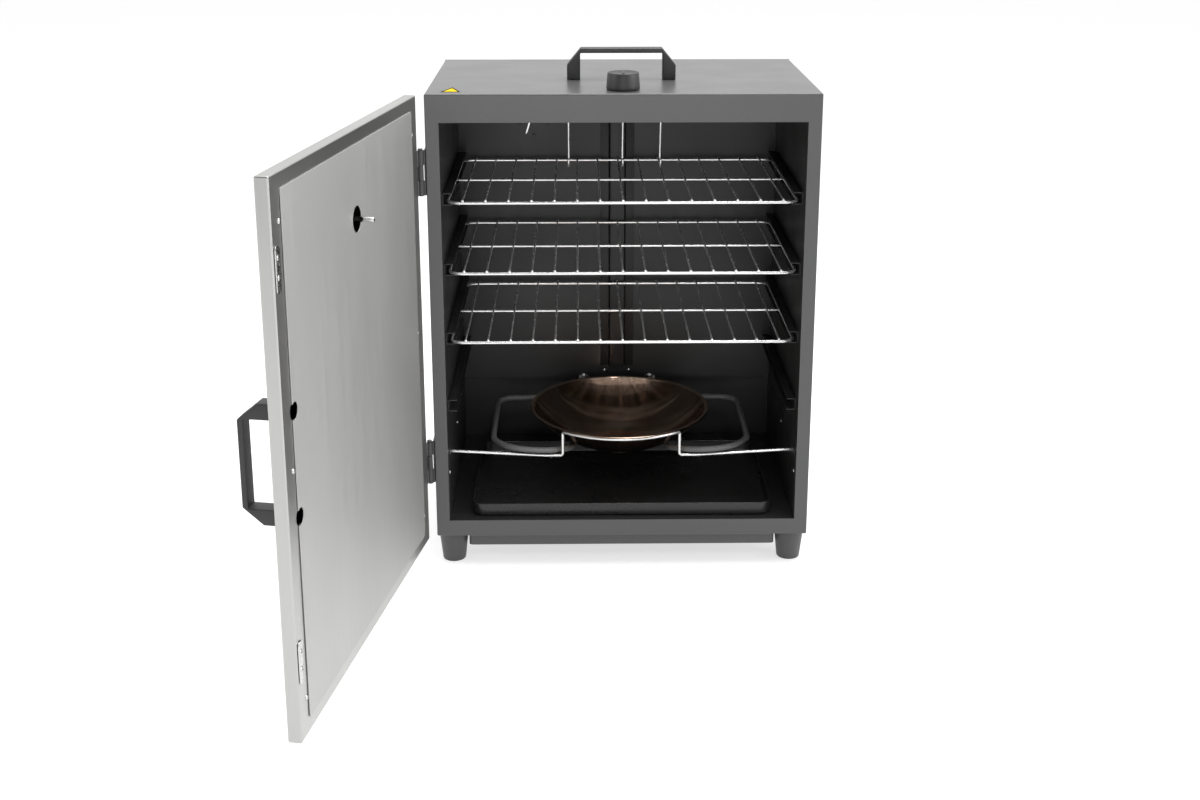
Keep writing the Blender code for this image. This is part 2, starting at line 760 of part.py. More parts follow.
def vent(steel, bright):
    """A flanged pipe through the back with a windowed plate, and a windowed disc that turns in front."""
    centre = (VENT_X, INNER_BACK, VENT_Z)
    s = VENT_SHEET
    pipe = make(
        "vent_collar",
        turned(
            [
                (0, s + GAP),
                (VENT_FLANGE_R, s + GAP),
                (VENT_FLANGE_R, GAP),
                (VENT_PIPE_R + s, GAP),
                (VENT_PIPE_R + s, GAP - LINER_SHEET - LINER_BACK_GAP - REAR_SHEET - 0.004),
                (VENT_PIPE_R, GAP - LINER_SHEET - LINER_BACK_GAP - REAR_SHEET - 0.004),
                (VENT_PIPE_R, GAP),
                (0, GAP),
            ],
            32,
            "Y",
        ),
        steel,
        at=centre,
        smooth=True,
    )
    windows = [
        sector(VENT_PIPE_R, middle, VENT_WINDOW, -0.01, 0.01) for middle in (-math.pi / 2, math.pi / 2)
    ]
    cut(pipe, several(*windows), "windows")
    pin_end = -s - GAP - 2 * GAP - s - 0.002
    fuse(pipe, drum(VENT_PIN_R, pin_end, -s, "Y", 12), "pin")
    disc_y = -s - 2 * GAP
    disc = make("vent_shutter", drum(VENT_FLANGE_R - 0.003, disc_y - s, disc_y, "Y", 32), bright, at=centre)
    shut_windows = [sector(VENT_PIPE_R, middle, VENT_WINDOW, -0.01, 0.01) for middle in (0, math.pi)]
    cut(disc, several(*shut_windows), "windows")
    cut(disc, drum(VENT_PIN_R + RUN, -0.01, 0.01, "Y", 12), "bore")
    tab_low, tab_high = -VENT_FLANGE_R + 0.0035, -VENT_FLANGE_R + 0.008
    fuse(disc, block((-0.0009, disc_y - s - 0.006, tab_low), (0.0009, disc_y - s / 2, tab_high)), "tab")


def handle_outline(length):
    """A flat bar on two legs: square inside, with cut outer shoulders."""
    half = length / 2
    leg_in = half - HANDLE_LEG
    shoulder_in = half - HANDLE_SHOULDER_W
    shoulder = HANDLE_H - HANDLE_SHOULDER_H
    under_bar = HANDLE_H - HANDLE_BAR
    outer = [(-half, 0), (-half, shoulder), (-shoulder_in, HANDLE_H)]
    inner = [(leg_in, 0), (leg_in, under_bar)]
    return [
        *outer,
        *[(-along, rise) for along, rise in reversed(outer)],
        *inner,
        *[(-along, rise) for along, rise in reversed(inner)],
    ]


def top_handle(plastic):
    grip = prism(handle_outline(TOP_HANDLE_LEN), -HANDLE_DEEP / 2, HANDLE_DEEP / 2, "Y")
    make("top_handle", grip, plastic, at=(0, FRONT + TOP_HANDLE_BACK, CASE_TOP + GAP))


def thermostat(plastic, steel):
    x, y = knob_centre()
    top = CASE_TOP - CASE_SHEET - GAP
    half = THERMOSTAT_SIDE / 2
    back_half = min(half, KNOB_BACK - CASE_SHEET - 2 * GAP)
    box = block((-half, -back_half, -THERMOSTAT_H), (half, back_half, 0))
    body = make("thermostat_body", box, steel, at=(x, y, top))
    fuse(body, drum(SHAFT_R, -0.002, CASE_SHEET + GAP + KNOB_H * 0.6, "Z", 12), "shaft")
    outline = [
        (0, KNOB_H),
        (KNOB_TOP_R - 0.001, KNOB_H),
        (KNOB_TOP_R, KNOB_H - 0.001),
        (KNOB_R, 0.0),
        (SHAFT_R + RUN, 0.0),
        (SHAFT_R + RUN, KNOB_H * 0.7),
        (0, KNOB_H * 0.7),
    ]
    knob = make("thermostat_knob", turned(outline, 32), plastic, at=(x, y, CASE_TOP + 2 * GAP), smooth=True)
    low, high = (-0.0012, -KNOB_TOP_R + 0.002, KNOB_H - 0.001), (0.0012, -0.002, KNOB_H + 0.001)
    fuse(knob, block(low, high), "pointer")


def door_frame():
    """The empty that the door hangs from, on the hinge axis, turned to where the door stands open."""
    hang = bpy.data.objects.new("door_axis", None)
    bpy.context.scene.collection.objects.link(hang)
    hang.location = HINGE_AXIS
    hang.rotation_euler = (0, 0, -DOOR_OPEN)
    return hang


def from_axis(x, y, z):
    """A point of the shut door, measured from the hinge axis."""
    return Vector((x, y, z)) - HINGE_AXIS


def door_handle_centre():
    return (SIDE - DOOR_HANDLE_FROM_EDGE, CASE_BOTTOM + CASE_H / 2)


def handle_screw_heights():
    half = DOOR_HANDLE_LEN / 2 - HANDLE_LEG / 2
    return [door_handle_centre()[1] + end * half for end in (-1, 1)]


def flat(x, z):
    """A shut door's place across and up, from the hinge axis."""
    return (x - HINGE_AXIS.x, z)


def door_panels(hang, steel):
    s, f = DOOR_SHEET, DOOR_FLANGE
    y_in, y_out = DOOR_IN - HINGE_AXIS.y, DOOR_OUT - HINGE_AXIS.y
    low, high = (-SIDE, DOOR_OUT, CASE_BOTTOM), (SIDE, DOOR_IN, CASE_TOP)
    pan = make("door_outer_panel", block(from_axis(*low), from_axis(*high)), steel, hang)
    low = from_axis(-SIDE + s, DOOR_OUT + s, CASE_BOTTOM + s)
    high = from_axis(SIDE - s, DOOR_IN - s, CASE_TOP - s)
    cut(pan, block(low, high), "inside")
    low = from_axis(-SIDE + f, DOOR_IN - 2 * s, CASE_BOTTOM + f)
    high = from_axis(SIDE - f, DOOR_IN + s, CASE_TOP - f)
    cut(pan, block(low, high), "window")
    spots = [flat(door_handle_centre()[0], z) for z in handle_screw_heights()]
    outer, inner = (y_out - s, y_out + 2 * s), (y_in - 2 * s, y_in + 4 * s)
    cut(pan, several(*[drum(HANDLE_SCREW_R + GAP, *outer, "Y", 10, spot) for spot in spots]), "screw_holes")
    cut(pan, several(*[drum(HANDLE_HOLE_R, *inner, "Y", 20, spot) for spot in spots]), "access_holes")
    thermo = flat(0, THERMO_Z)
    cut(pan, drum(STEM_BUSH_R + GAP, *outer, "Y", 16, thermo), "thermometer_hole")
    low = from_axis(-SIDE + DOOR_PLATE_SIDE, DOOR_IN + GAP, CASE_BOTTOM + DOOR_PLATE_END)
    high = from_axis(SIDE - DOOR_PLATE_SIDE, DOOR_IN + GAP + DOOR_PLATE_T, CASE_TOP - DOOR_PLATE_END)
    plate = make("door_inner_panel", block(low, high), steel, hang)
    cut(plate, several(*[drum(HANDLE_HOLE_R, *inner, "Y", 20, spot) for spot in spots]), "access_holes")
    cut(plate, drum(THERMO_HOLE_R, *inner, "Y", 24, thermo), "thermometer_hole")


def door_handle(hang, plastic, steel):
    x, z = door_handle_centre()
    y = DOOR_OUT - GAP - HINGE_AXIS.y
    points = [(y - rise, z + along) for along, rise in handle_outline(DOOR_HANDLE_LEN)]
    place = flat(x, z)[0]
    bar = prism(points, place - HANDLE_DEEP / 2, place + HANDLE_DEEP / 2, "X")
    grip = make("door_handle", bar, plastic, hang)
    depth = 0.010
    bores = [
        drum(HANDLE_SCREW_R + RUN, y - depth, y + GAP, "Y", 10, flat(x, height))
        for height in handle_screw_heights()
    ]
    cut(grip, several(*bores), "screw_bores")
    skin = DOOR_OUT + DOOR_SHEET - HINGE_AXIS.y
    for name, height in zip(("lower", "upper"), handle_screw_heights()):
        spot = (place, skin + GAP, height)
        outline = [
            (0, 0.0028),
            (HANDLE_SCREW_R * 1.4, 0.0025),
            (HANDLE_SCREW_R * 2.0, 0.0010),
            (HANDLE_SCREW_R * 2.0, 0.0),
            (HANDLE_SCREW_R, 0.0),
            (HANDLE_SCREW_R, -depth),
            (0, -depth),
        ]
        upside = [(radius, -up) for radius, up in outline]
        make(f"door_handle_screw_{name}", turned(upside, 10, "Y"), steel, hang, spot, smooth=True)


def thermometer(hang, steel, glass, red):
    """A dial gauge: a flanged cup outside the door, a threaded bush through it, a nut and a stem inside."""
    centre = from_axis(0, DOOR_OUT, THERMO_Z)
    r, t = THERMO_R, THERMO_T
    wall = 0.0012
    cup = [
        (0, GAP),
        (r - 0.002, GAP),
        (r, 0.002),
        (r, t),
        (r - wall, t),
        (r - wall, 0.0035),
        (0, 0.0035),
    ]
    case_ = make("thermometer_case", turned(cup, 32, "Y"), steel, hang, centre, smooth=True)
    fuse(case_, drum(0.0010, -0.0070, -0.0030, "Y", 8), "spindle")
    fuse(case_, drum(STEM_BUSH_R, -0.0010, DOOR_SHEET + STEM_NUT_T + 0.0025, "Y", 16), "bush")
    cut(case_, drum(STEM_R + RUN, 0.0005, DOOR_T, "Y", 12), "stem_bore")
    glass_disc = drum(r - wall - GAP, -t + 0.0004, -t + 0.0019, "Y", 32)
    make("thermometer_glass", glass_disc, glass, hang, centre)
    needle_y = -0.0055
    outline = [(-0.0012, -0.006), (0.0012, -0.006), (0.0005, 0.0185), (-0.0005, 0.0185)]
    pointer = prism(outline, needle_y, needle_y + 0.0008, "Y")
    needle = make("thermometer_needle", pointer, red, hang, centre)
    fuse(needle, drum(0.0030, needle_y - 0.0004, needle_y + 0.0010, "Y", 12), "hub")
    cut(needle, drum(0.0010 + RUN, needle_y - 0.002, needle_y + 0.002, "Y", 8), "bore")
    skin = DOOR_SHEET + GAP
    nut = make("thermometer_nut", drum(STEM_NUT_R, skin, skin + STEM_NUT_T, "Y", 6), steel, hang, centre)
    cut(nut, drum(STEM_BUSH_R + RUN, 0, 0.01, "Y", 16), "bore")
    reach = DOOR_T + STEM_REACH
    make("thermometer_stem", drum(STEM_R, 0.0010, reach, "Y", 12), steel, hang, centre, smooth=True)


def catches(hang, steel):
    x = SIDE - CATCH_FROM_EDGE
    y_in = DOOR_IN + GAP
    for name, z in (("lower", CASE_BOTTOM + CATCH_FROM_BOTTOM), ("upper", CASE_TOP - CATCH_FROM_TOP)):
        low = from_axis(x - CATCH_W / 2, y_in, z - CATCH_H / 2)
        high = from_axis(x + CATCH_W / 2, y_in + CATCH_T, z + CATCH_H / 2)
        make(f"door_catch_{name}", block(low, high), steel, hang)


def knuckle_spans():
    """The hinge's three knuckles as (low, high) from its middle: the case has the outer two."""
    third = HINGE_H / 3
    gap = KNUCKLE_GAP / 2
    edges = (-HINGE_H / 2, -HINGE_H / 2 + third, HINGE_H / 2 - third, HINGE_H / 2)
    return [(a + gap, b - gap) for a, b in zip(edges, edges[1:])]


def hinges(hang, dark):
    lower, centre, upper = knuckle_spans()
    leaf_x = HINGE_OUT - GAP
    for name, z in (("lower", CASE_BOTTOM + HINGE_FROM_BOTTOM), ("upper", CASE_TOP - HINGE_FROM_TOP)):
        at = HINGE_AXIS + Vector((0, 0, z))
        half = HINGE_H / 2
        fixed = make(
            f"hinge_leaf_case_{name}",
            block((leaf_x - LEAF_T, HINGE_FORE + 0.0008, -half), (leaf_x, HINGE_FORE + LEAF_W, half)),
            dark,
            at=at,
        )
        for label, (low, high) in (("lower_knuckle", lower), ("upper_knuckle", upper)):
            fuse(fixed, drum(KNUCKLE_R, low, high, "Z", 16), label)
            web = block((0.0, 0.0013, low), (leaf_x - 0.0002, KNUCKLE_R - 0.0002, high))
            fuse(fixed, web, f"{label}_web")
        cut(fixed, drum(PIN_R + RUN, -half - GAP, half + GAP, "Z", 16), "bore")
        swing = from_axis(HINGE_AXIS.x, HINGE_AXIS.y, z)
        y_near = DOOR_IN - HINGE_AXIS.y - 0.0004
        moving = make(
            f"hinge_leaf_door_{name}",
            block((leaf_x - LEAF_T, DOOR_OUT - HINGE_AXIS.y, -half), (leaf_x, y_near, half)),
            dark,
            hang,
            swing,
        )
        low, high = centre
        fuse(moving, drum(KNUCKLE_R, low, high, "Z", 16), "knuckle")
        fuse(moving, block((0.0, -KNUCKLE_R + 0.0002, low), (leaf_x - 0.0002, -0.0013, high)), "web")
        cut(moving, drum(PIN_R + RUN, -half - GAP, half + GAP, "Z", 16), "bore")
        pin = [(0, half + 0.0016), (PIN_R * 1.6, half + 0.0016), (PIN_R * 1.6, half + GAP)]
        pin += [(PIN_R, half + GAP), (PIN_R, -half - GAP), (0, -half - GAP)]
        make(f"hinge_pin_{name}", turned(pin, 16), dark, at=at, smooth=True)


def main():
    clear_scene()
    paint = finish("case_paint", (0.075, 0.075, 0.078), 0.45, 0.3)
    steel = finish("stainless", (0.62, 0.61, 0.60), 0.28, 1.0)
    liner_steel = finish("liner_steel", (0.22, 0.22, 0.22), 0.35, 1.0)
    chrome = finish("chrome_wire", (0.80, 0.80, 0.80), 0.12, 1.0)
    black = finish("black_plastic", (0.035, 0.035, 0.036), 0.40, 0.0)
    rubber = finish("rubber", (0.055, 0.055, 0.057), 0.60, 0.0)
    dark = finish("hinge_steel", (0.06, 0.06, 0.062), 0.40, 0.6)
    bronze = finish("bowl_steel", (0.45, 0.33, 0.24), 0.12, 1.0)
    heater_skin = finish("heater_sheath", (0.16, 0.16, 0.16), 0.40, 0.8)
    enamel = finish("tray_enamel", (0.012, 0.012, 0.012), 0.30, 0.0)
    glass = finish("dial_glass", (0.90, 0.92, 0.92), 0.05, 0.0)
    red = finish("needle_red", (0.60, 0.04, 0.03), 0.40, 0.0)

    case(paint)
    rear_cover(paint)
    power_inlet(black)
    liner(liner_steel)
    base(paint, rubber)
    rails(liner_steel)
    for name, z in zip(("rack_top", "rack_middle", "rack_lower"), rack_heights()):
        rack(name, z, chrome)
    hanging_rod(steel)
    hooks(chrome)
    probe(steel)
    bowl(bronze)
    carriers(chrome)
    heater(heater_skin, steel)
    tray(enamel)
    wiring_channel(liner_steel)
    vent(liner_steel, steel)
    top_handle(black)
    thermostat(black, steel)
    hang = door_frame()
    door_panels(hang, steel)
    door_handle(hang, black, steel)
    thermometer(hang, steel, glass, red)
    catches(hang, steel)
    hinges(hang, dark)


main()
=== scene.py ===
# %% [markdown]
# # A smoking and drying cabinet, modelled piece by piece
#
# The real cabinet is a box of folded, powder-coated steel on four rubber feet. A brushed steel door
# hangs from its left side, and a dark steel liner inside carries three wire racks, a bowl of wood chips
# over a tubular heater, and a drip tray. Its shape and joints come from a imported model, which this lesson
# loads as a fixed frame. Most visible pieces are then modelled again in finer detail, in the same place.

# %% The imported model
import math

import bmesh
import bpy
from mathutils import Matrix, Vector


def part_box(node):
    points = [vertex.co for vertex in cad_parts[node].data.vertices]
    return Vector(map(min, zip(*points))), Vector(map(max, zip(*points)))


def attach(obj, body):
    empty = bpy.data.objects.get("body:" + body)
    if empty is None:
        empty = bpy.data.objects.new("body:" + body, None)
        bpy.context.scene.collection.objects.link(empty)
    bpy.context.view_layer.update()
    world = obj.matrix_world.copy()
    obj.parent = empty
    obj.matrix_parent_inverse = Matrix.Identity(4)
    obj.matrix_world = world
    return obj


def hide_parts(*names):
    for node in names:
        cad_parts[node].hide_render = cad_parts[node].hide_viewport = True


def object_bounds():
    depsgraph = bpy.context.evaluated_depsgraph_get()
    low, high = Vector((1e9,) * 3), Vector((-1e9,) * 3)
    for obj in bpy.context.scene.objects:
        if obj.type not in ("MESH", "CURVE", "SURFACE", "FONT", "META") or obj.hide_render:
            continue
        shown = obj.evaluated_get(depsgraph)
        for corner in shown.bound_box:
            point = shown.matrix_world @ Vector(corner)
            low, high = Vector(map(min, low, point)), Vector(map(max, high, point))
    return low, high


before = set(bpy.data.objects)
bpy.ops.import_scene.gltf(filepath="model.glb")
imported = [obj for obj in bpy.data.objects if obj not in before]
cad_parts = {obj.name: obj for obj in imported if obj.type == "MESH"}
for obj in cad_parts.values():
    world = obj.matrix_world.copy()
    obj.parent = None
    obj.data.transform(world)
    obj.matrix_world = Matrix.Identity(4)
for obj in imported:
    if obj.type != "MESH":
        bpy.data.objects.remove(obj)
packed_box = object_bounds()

# %% [markdown]
# ## Camera, floor and light
#
# The camera stands a little above the cabinet and looks slightly down, with its view shifted so that
# the upright edges stay nearly upright. The cabinet stands on a wide pale floor. A studio lights such an
# object with large soft boxes, so a strong one hangs overhead and one stands on each side. Two weak ones in
# front lift the frame and the bowl a little. The air in front is dim, which keeps the inside dark.

# %% Camera
CAMERA_PLACE = Vector((-0.0457, -1.6508, 0.7297))
CAMERA_TURN = 0.0143
CAMERA_DIP = 0.2737

bpy.ops.object.camera_add(location=CAMERA_PLACE, rotation=(math.pi / 2 - CAMERA_DIP, 0, -CAMERA_TURN))
camera = bpy.context.active_object
camera.name = "camera"
camera.data.lens = 45.88
camera.data.sensor_width = 36
camera.data.shift_y = -0.1
camera.data.clip_end = 100
bpy.context.scene.camera = camera
bpy.context.scene.view_settings.view_transform = "Standard"
print("camera lens", camera.data.lens, "mm")

# %% Floor, soft boxes and the pale surroundings
FLOOR_Z = packed_box[0][2]
FLOOR_RADIUS, FLOOR_GREY, FLOOR_GLOW = 14, 0.45, 0.62
# Name, place, height of the spot that it aims at, size and watts.
SOFT_BOXES = (
    ("light_over", (0.3, 0.2, 2.6), 0.2, (2.4, 2.0), 80),
    ("light_left", (-2.4, -1.0, 1.3), 0.2, (1.6, 2.0), 15),
    ("light_right", (2.9, -1.2, 1.5), 0.2, (3.4, 2.8), 62),
    ("light_front", (0.30, -2.2, 2.2), 0.15, (0.50, 0.40), 9),
    ("light_low", (-0.15, -3.0, 0.55), 0.2, (2.0, 1.0), 11),
)
# The air dims from its full strength to this share over this run of direction, from behind to in front.
DIM_AIR, DIM_DONE, DIM_START = 0.10, -0.75, 0.25


def pale_floor():
    bpy.ops.mesh.primitive_circle_add(
        vertices=96, radius=FLOOR_RADIUS, fill_type="NGON", location=(0, 0, FLOOR_Z)
    )
    floor = bpy.context.active_object
    floor.name = "floor"
    look = bpy.data.materials.new("studio_floor")
    look.use_nodes = True
    shader = look.node_tree.nodes["Principled BSDF"]
    shader.inputs["Base Color"].default_value = (FLOOR_GREY, FLOOR_GREY, FLOOR_GREY, 1)
    shader.inputs["Roughness"].default_value = 0.85
    shader.inputs["Emission Color"].default_value = (1, 1, 1, 1)
    shader.inputs["Emission Strength"].default_value = FLOOR_GLOW
    floor.data.materials.append(look)


def soft_box(name, place, aim_height, size, power):
    bpy.ops.object.light_add(type="AREA", location=place)
    lamp = bpy.context.active_object
    lamp.name = name
    lamp.data.shape = "ELLIPSE"
    lamp.data.size, lamp.data.size_y = size
    lamp.data.energy = power
    sight = Vector((0, 0, aim_height)) - Vector(place)
    lamp.rotation_euler = sight.to_track_quat("-Z", "Y").to_euler()


pale_floor()
for lamp_values in SOFT_BOXES:
    soft_box(*lamp_values)

world = bpy.data.worlds.new("studio_air")
bpy.context.scene.world = world
world.use_nodes = True


def dim_the_front(tree):
    """White air behind the cabinet and dimmer air in front. Seen straight by the camera, it is all white."""
    air = tree.nodes["Background"]
    place = tree.nodes.new("ShaderNodeTexCoord")
    split = tree.nodes.new("ShaderNodeSeparateXYZ")
    depth = tree.nodes.new("ShaderNodeMapRange")
    depth.inputs["From Min"].default_value = DIM_DONE
    depth.inputs["From Max"].default_value = DIM_START
    depth.inputs["To Min"].default_value = DIM_AIR
    depth.inputs["To Max"].default_value = 1.0
    sight = tree.nodes.new("ShaderNodeLightPath")
    brighter = tree.nodes.new("ShaderNodeMath")
    brighter.operation = "MAXIMUM"
    tree.links.new(place.outputs["Generated"], split.inputs[0])
    tree.links.new(split.outputs["Y"], depth.inputs["Value"])
    tree.links.new(depth.outputs["Result"], brighter.inputs[0])
    tree.links.new(sight.outputs["Is Camera Ray"], brighter.inputs[1])
    tree.links.new(brighter.outputs["Value"], air.inputs["Strength"])
    air.inputs["Color"].default_value = (1, 1, 1, 1)


dim_the_front(world.node_tree)
print("floor at", round(FLOOR_Z, 4))

# %% [markdown]
# ## Ways of working
#
# Everything below is made with the same few moves: add a primitive, go into edit mode, pick some faces or
# edges by where they are, and extrude, inset, bevel or delete them. A finished piece keeps its place in
# its mesh, so its object stays at the origin. Round wires and tubes start as a line drawn point by point,
# which becomes a curve with a thickness and then a mesh. Round turned pieces start as an outline that is
# spun about an axis.


# %% Moves shared by every piece
def select_only(*pieces):
    if bpy.context.mode != "OBJECT":
        bpy.ops.object.mode_set(mode="OBJECT")
    bpy.ops.object.select_all(action="DESELECT")
    for piece in pieces:
        piece.select_set(True)
        bpy.context.view_layer.objects.active = piece


def settle(name=None):
    """Puts the active piece's place into its mesh, and names it."""
    piece = bpy.context.active_object
    if name:
        piece.name = name
        piece.data.name = name
    bpy.ops.object.transform_apply(location=True, rotation=True, scale=True)
    return piece


def add_box(name, low, high):
    select_only()
    low, high = Vector(low), Vector(high)
    bpy.ops.mesh.primitive_cube_add(size=1, location=(low + high) / 2, scale=high - low)
    return settle(name)


def add_drum(name, centre, radius, depth, axis="Z", sides=48):
    select_only()
    turn = {"X": (0, math.pi / 2, 0), "Y": (math.pi / 2, 0, 0), "Z": (0, 0, 0)}[axis]
    bpy.ops.mesh.primitive_cylinder_add(
        vertices=sides, radius=radius, depth=depth, location=centre, rotation=turn
    )
    return settle(name)


def pick(piece, kind, test):
    """Edit mode, with the faces, edges or points selected whose middle and normal pass the test."""
    if bpy.context.mode != "EDIT_MESH" or bpy.context.active_object is not piece:
        select_only(piece)
        bpy.ops.object.mode_set(mode="EDIT")
    bpy.ops.mesh.select_mode(type=kind)
    bpy.ops.mesh.select_all(action="DESELECT")
    shape = bmesh.from_edit_mesh(piece.data)
    parts = {"VERT": shape.verts, "EDGE": shape.edges, "FACE": shape.faces}[kind]
    for part in parts:
        if kind == "VERT":
            middle, normal = part.co, part.normal
        elif kind == "EDGE":
            a, b = part.verts
            middle, normal = (a.co + b.co) / 2, (b.co - a.co).normalized()
        else:
            middle, normal = part.calc_center_median(), part.normal
        if test(middle, normal):
            part.select = True
    shape.select_flush_mode()
    bmesh.update_edit_mesh(piece.data)


def leave_edit():
    if bpy.context.mode != "OBJECT":
        bpy.ops.object.mode_set(mode="OBJECT")


def press(piece, kind, label, **settings):
    """Adds a modifier and applies it straight away."""
    select_only(piece)
    modifier = piece.modifiers.new(label, kind)
    for setting, value in settings.items():
        setattr(modifier, setting, value)
    bpy.ops.object.modifier_apply(modifier=modifier.name)


def soften(piece, width, segments=3, angle=30):
    press(
        piece, "BEVEL", "round_edges", width=width, segments=segments,
        limit_method="ANGLE", angle_limit=math.radians(angle),
    )


def round_along(piece, axis, radius, segments):
    """Rounds the edges that run along one axis, which is 0, 1 or 2."""
    pick(piece, "EDGE", lambda at, along: abs(along[axis]) > 0.9)
    bpy.ops.mesh.bevel(offset=radius, segments=segments)
    leave_edit()


def rounded_box(name, low, high, axis, radius, segments):
    piece = add_box(name, low, high)
    round_along(piece, axis, radius, segments)
    return piece


def give_wall(piece, thickness, offset=-1):
    press(piece, "SOLIDIFY", "wall", thickness=thickness, offset=offset, use_even_offset=True)


def cut_away(piece, *cutters):
    for cutter in cutters:
        press(piece, "BOOLEAN", "cut", operation="DIFFERENCE", solver="EXACT", object=cutter)
        bpy.data.objects.remove(cutter)


def face_out(piece, gap=1e-5):
    """Merges points that coincide, and turns every face outwards."""
    select_only(piece)
    bpy.ops.object.mode_set(mode="EDIT")
    bpy.ops.mesh.select_all(action="SELECT")
    bpy.ops.mesh.remove_doubles(threshold=gap)
    bpy.ops.mesh.normals_make_consistent(inside=False)
    leave_edit()


def smooth(piece, angle=35):
    select_only(piece)
    bpy.ops.object.shade_smooth_by_angle(angle=math.radians(angle))


def weigh_normals(piece):
    """Lets the large flat faces set the shading, so that their rounded edges don't bend it."""
    press(piece, "WEIGHTED_NORMAL", "weigh_normals", keep_sharp=True)


def draw_line(name, points, closed=False):
    """A run of edges, drawn one point at a time."""
    select_only()
    bpy.ops.mesh.primitive_plane_add(size=0.01, location=(0, 0, 0))
    piece = settle(name)
    bpy.ops.object.mode_set(mode="EDIT")
    bpy.ops.mesh.select_mode(type="VERT")
    bpy.ops.mesh.select_all(action="SELECT")
    bpy.ops.mesh.merge(type="CENTER")
    bpy.ops.transform.translate(value=points[0])
    for here, there in zip(points, points[1:]):
        step = Vector(there) - Vector(here)
        bpy.ops.mesh.extrude_vertices_move(TRANSFORM_OT_translate={"value": step})
    if closed:
        ends = [Vector(points[0]), Vector(points[-1])]
        pick(piece, "VERT", lambda at, _: min((at - end).length for end in ends) < 1e-6)
        bpy.ops.mesh.edge_face_add()
    return piece


def round_corners(piece, radius, steps=5, test=lambda at: True):
    pick(piece, "VERT", lambda at, _: test(at))
    bpy.ops.mesh.bevel(offset=radius, offset_type="OFFSET", segments=steps, affect="VERTICES")
    leave_edit()


def thicken(piece, radius, ring=3, taper=None):
    """Makes a drawn line a round bar. Taper gives the two ends' share of the full thickness."""
    select_only(piece)
    bpy.ops.object.convert(target="CURVE")
    curve = bpy.context.active_object.data
    curve.bevel_depth = radius
    curve.bevel_resolution = ring
    curve.use_fill_caps = True
    if taper:
        points = curve.splines[0].points
        points[0].radius, points[-1].radius = taper
    bpy.ops.object.convert(target="MESH")
    face_out(bpy.context.active_object, 1e-7)
    smooth(piece, 50)


def wire_frame(name, half_x, front, back, z, bend, steps):
    """A flat rectangle of line with rounded corners."""
    corners = [(-half_x, front, z), (half_x, front, z), (half_x, back, z), (-half_x, back, z)]
    piece = draw_line(name, corners, closed=True)
    round_corners(piece, bend, steps)
    return piece


def spin_round(name, outline, centre=(0, 0, 0), axis="Z", steps=64):
    """A closed outline of (radius, height) points, spun once round its axis."""
    piece = draw_line(name, [(radius, 0, height) for radius, height in outline])
    bpy.ops.mesh.select_all(action="SELECT")
    bpy.ops.mesh.spin(steps=steps, angle=math.tau, center=(0, 0, 0), axis=(0, 0, 1))
    face_out(piece, 2e-6)
    turn = Matrix.Rotation(math.pi / 2, 4, "X") if axis == "Y" else Matrix()
    piece.matrix_world = Matrix.Translation(centre) @ turn
    select_only(piece)
    settle()
    smooth(piece)
    return piece


def push_outline(name, points, along):
    """A closed flat outline, filled and pushed out into a solid."""
    piece = draw_line(name, points, closed=True)
    bpy.ops.mesh.select_all(action="SELECT")
    bpy.ops.mesh.edge_face_add()
    bpy.ops.mesh.extrude_region_move(TRANSFORM_OT_translate={"value": along})
    face_out(piece)
    return piece


def copy_of(piece, name, shift=(0, 0, 0), facing=None):
    """A copy with its own mesh, turned so that its +Z faces a direction, and moved into place."""
    select_only(piece)
    bpy.ops.object.duplicate(linked=False)
    twin = bpy.context.active_object
    turn = Matrix()
    if facing is not None:
        turn = Vector((0, 0, 1)).rotation_difference(Vector(facing)).to_matrix().to_4x4()
    twin.matrix_world = Matrix.Translation(shift) @ turn
    return settle(name)


def join_as(name, *pieces):
    select_only(*pieces)
    bpy.ops.object.join()
    return settle(name)


def arc(centre, radius, start, end, steps):
    """Flat points round a centre, between two angles in degrees."""
    turns = [math.radians(start + (end - start) * i / steps) for i in range(steps + 1)]
    return [(centre[0] + radius * math.cos(t), centre[1] + radius * math.sin(t)) for t in turns]


print("moves ready")

# %% [markdown]
# ## Shared surface effects
#
# Three effects come back in many finishes, so each is built once as a node group: fine grain, as on powder
# coat and moulded plastic; long brushed lines, as on rolled or brushed steel; and soft smudges, which make
# any surface a little uneven in gloss. Each reads Object coordinates in metres, so its sizes are true. A
# group hands out only masks and heights, and every finish mixes them with its own values.


# %% Node groups
def new_group(name, inputs, outputs):
    group = bpy.data.node_groups.new(name, "ShaderNodeTree")
    for label, kind, value in inputs:
        socket = group.interface.new_socket(name=label, in_out="INPUT", socket_type=kind)
        socket.default_value = value
    for label in outputs:
        group.interface.new_socket(name=label, in_out="OUTPUT", socket_type="NodeSocketFloat")
    return group, group.nodes.new("NodeGroupInput"), group.nodes.new("NodeGroupOutput")


def add_node(tree, kind, **settings):
    made = tree.nodes.new("ShaderNode" + kind)
    for setting, value in settings.items():
        setattr(made, setting, value)
    return made


def stretched_noise(tree, scale_from, detail, rough=0.5):
    """Noise whose scale on each axis comes from a vector, read on Object coordinates."""
    place = add_node(tree, "TexCoord")
    stretch = add_node(tree, "VectorMath", operation="MULTIPLY")
    noise = add_node(tree, "TexNoise")
    noise.inputs["Scale"].default_value = 1.0
    noise.inputs["Detail"].default_value = detail
    noise.inputs["Roughness"].default_value = rough
    tree.links.new(place.outputs["Object"], stretch.inputs[0])
    tree.links.new(scale_from, stretch.inputs[1])
    tree.links.new(stretch.outputs[0], noise.inputs["Vector"])
    return noise.outputs["Fac"]


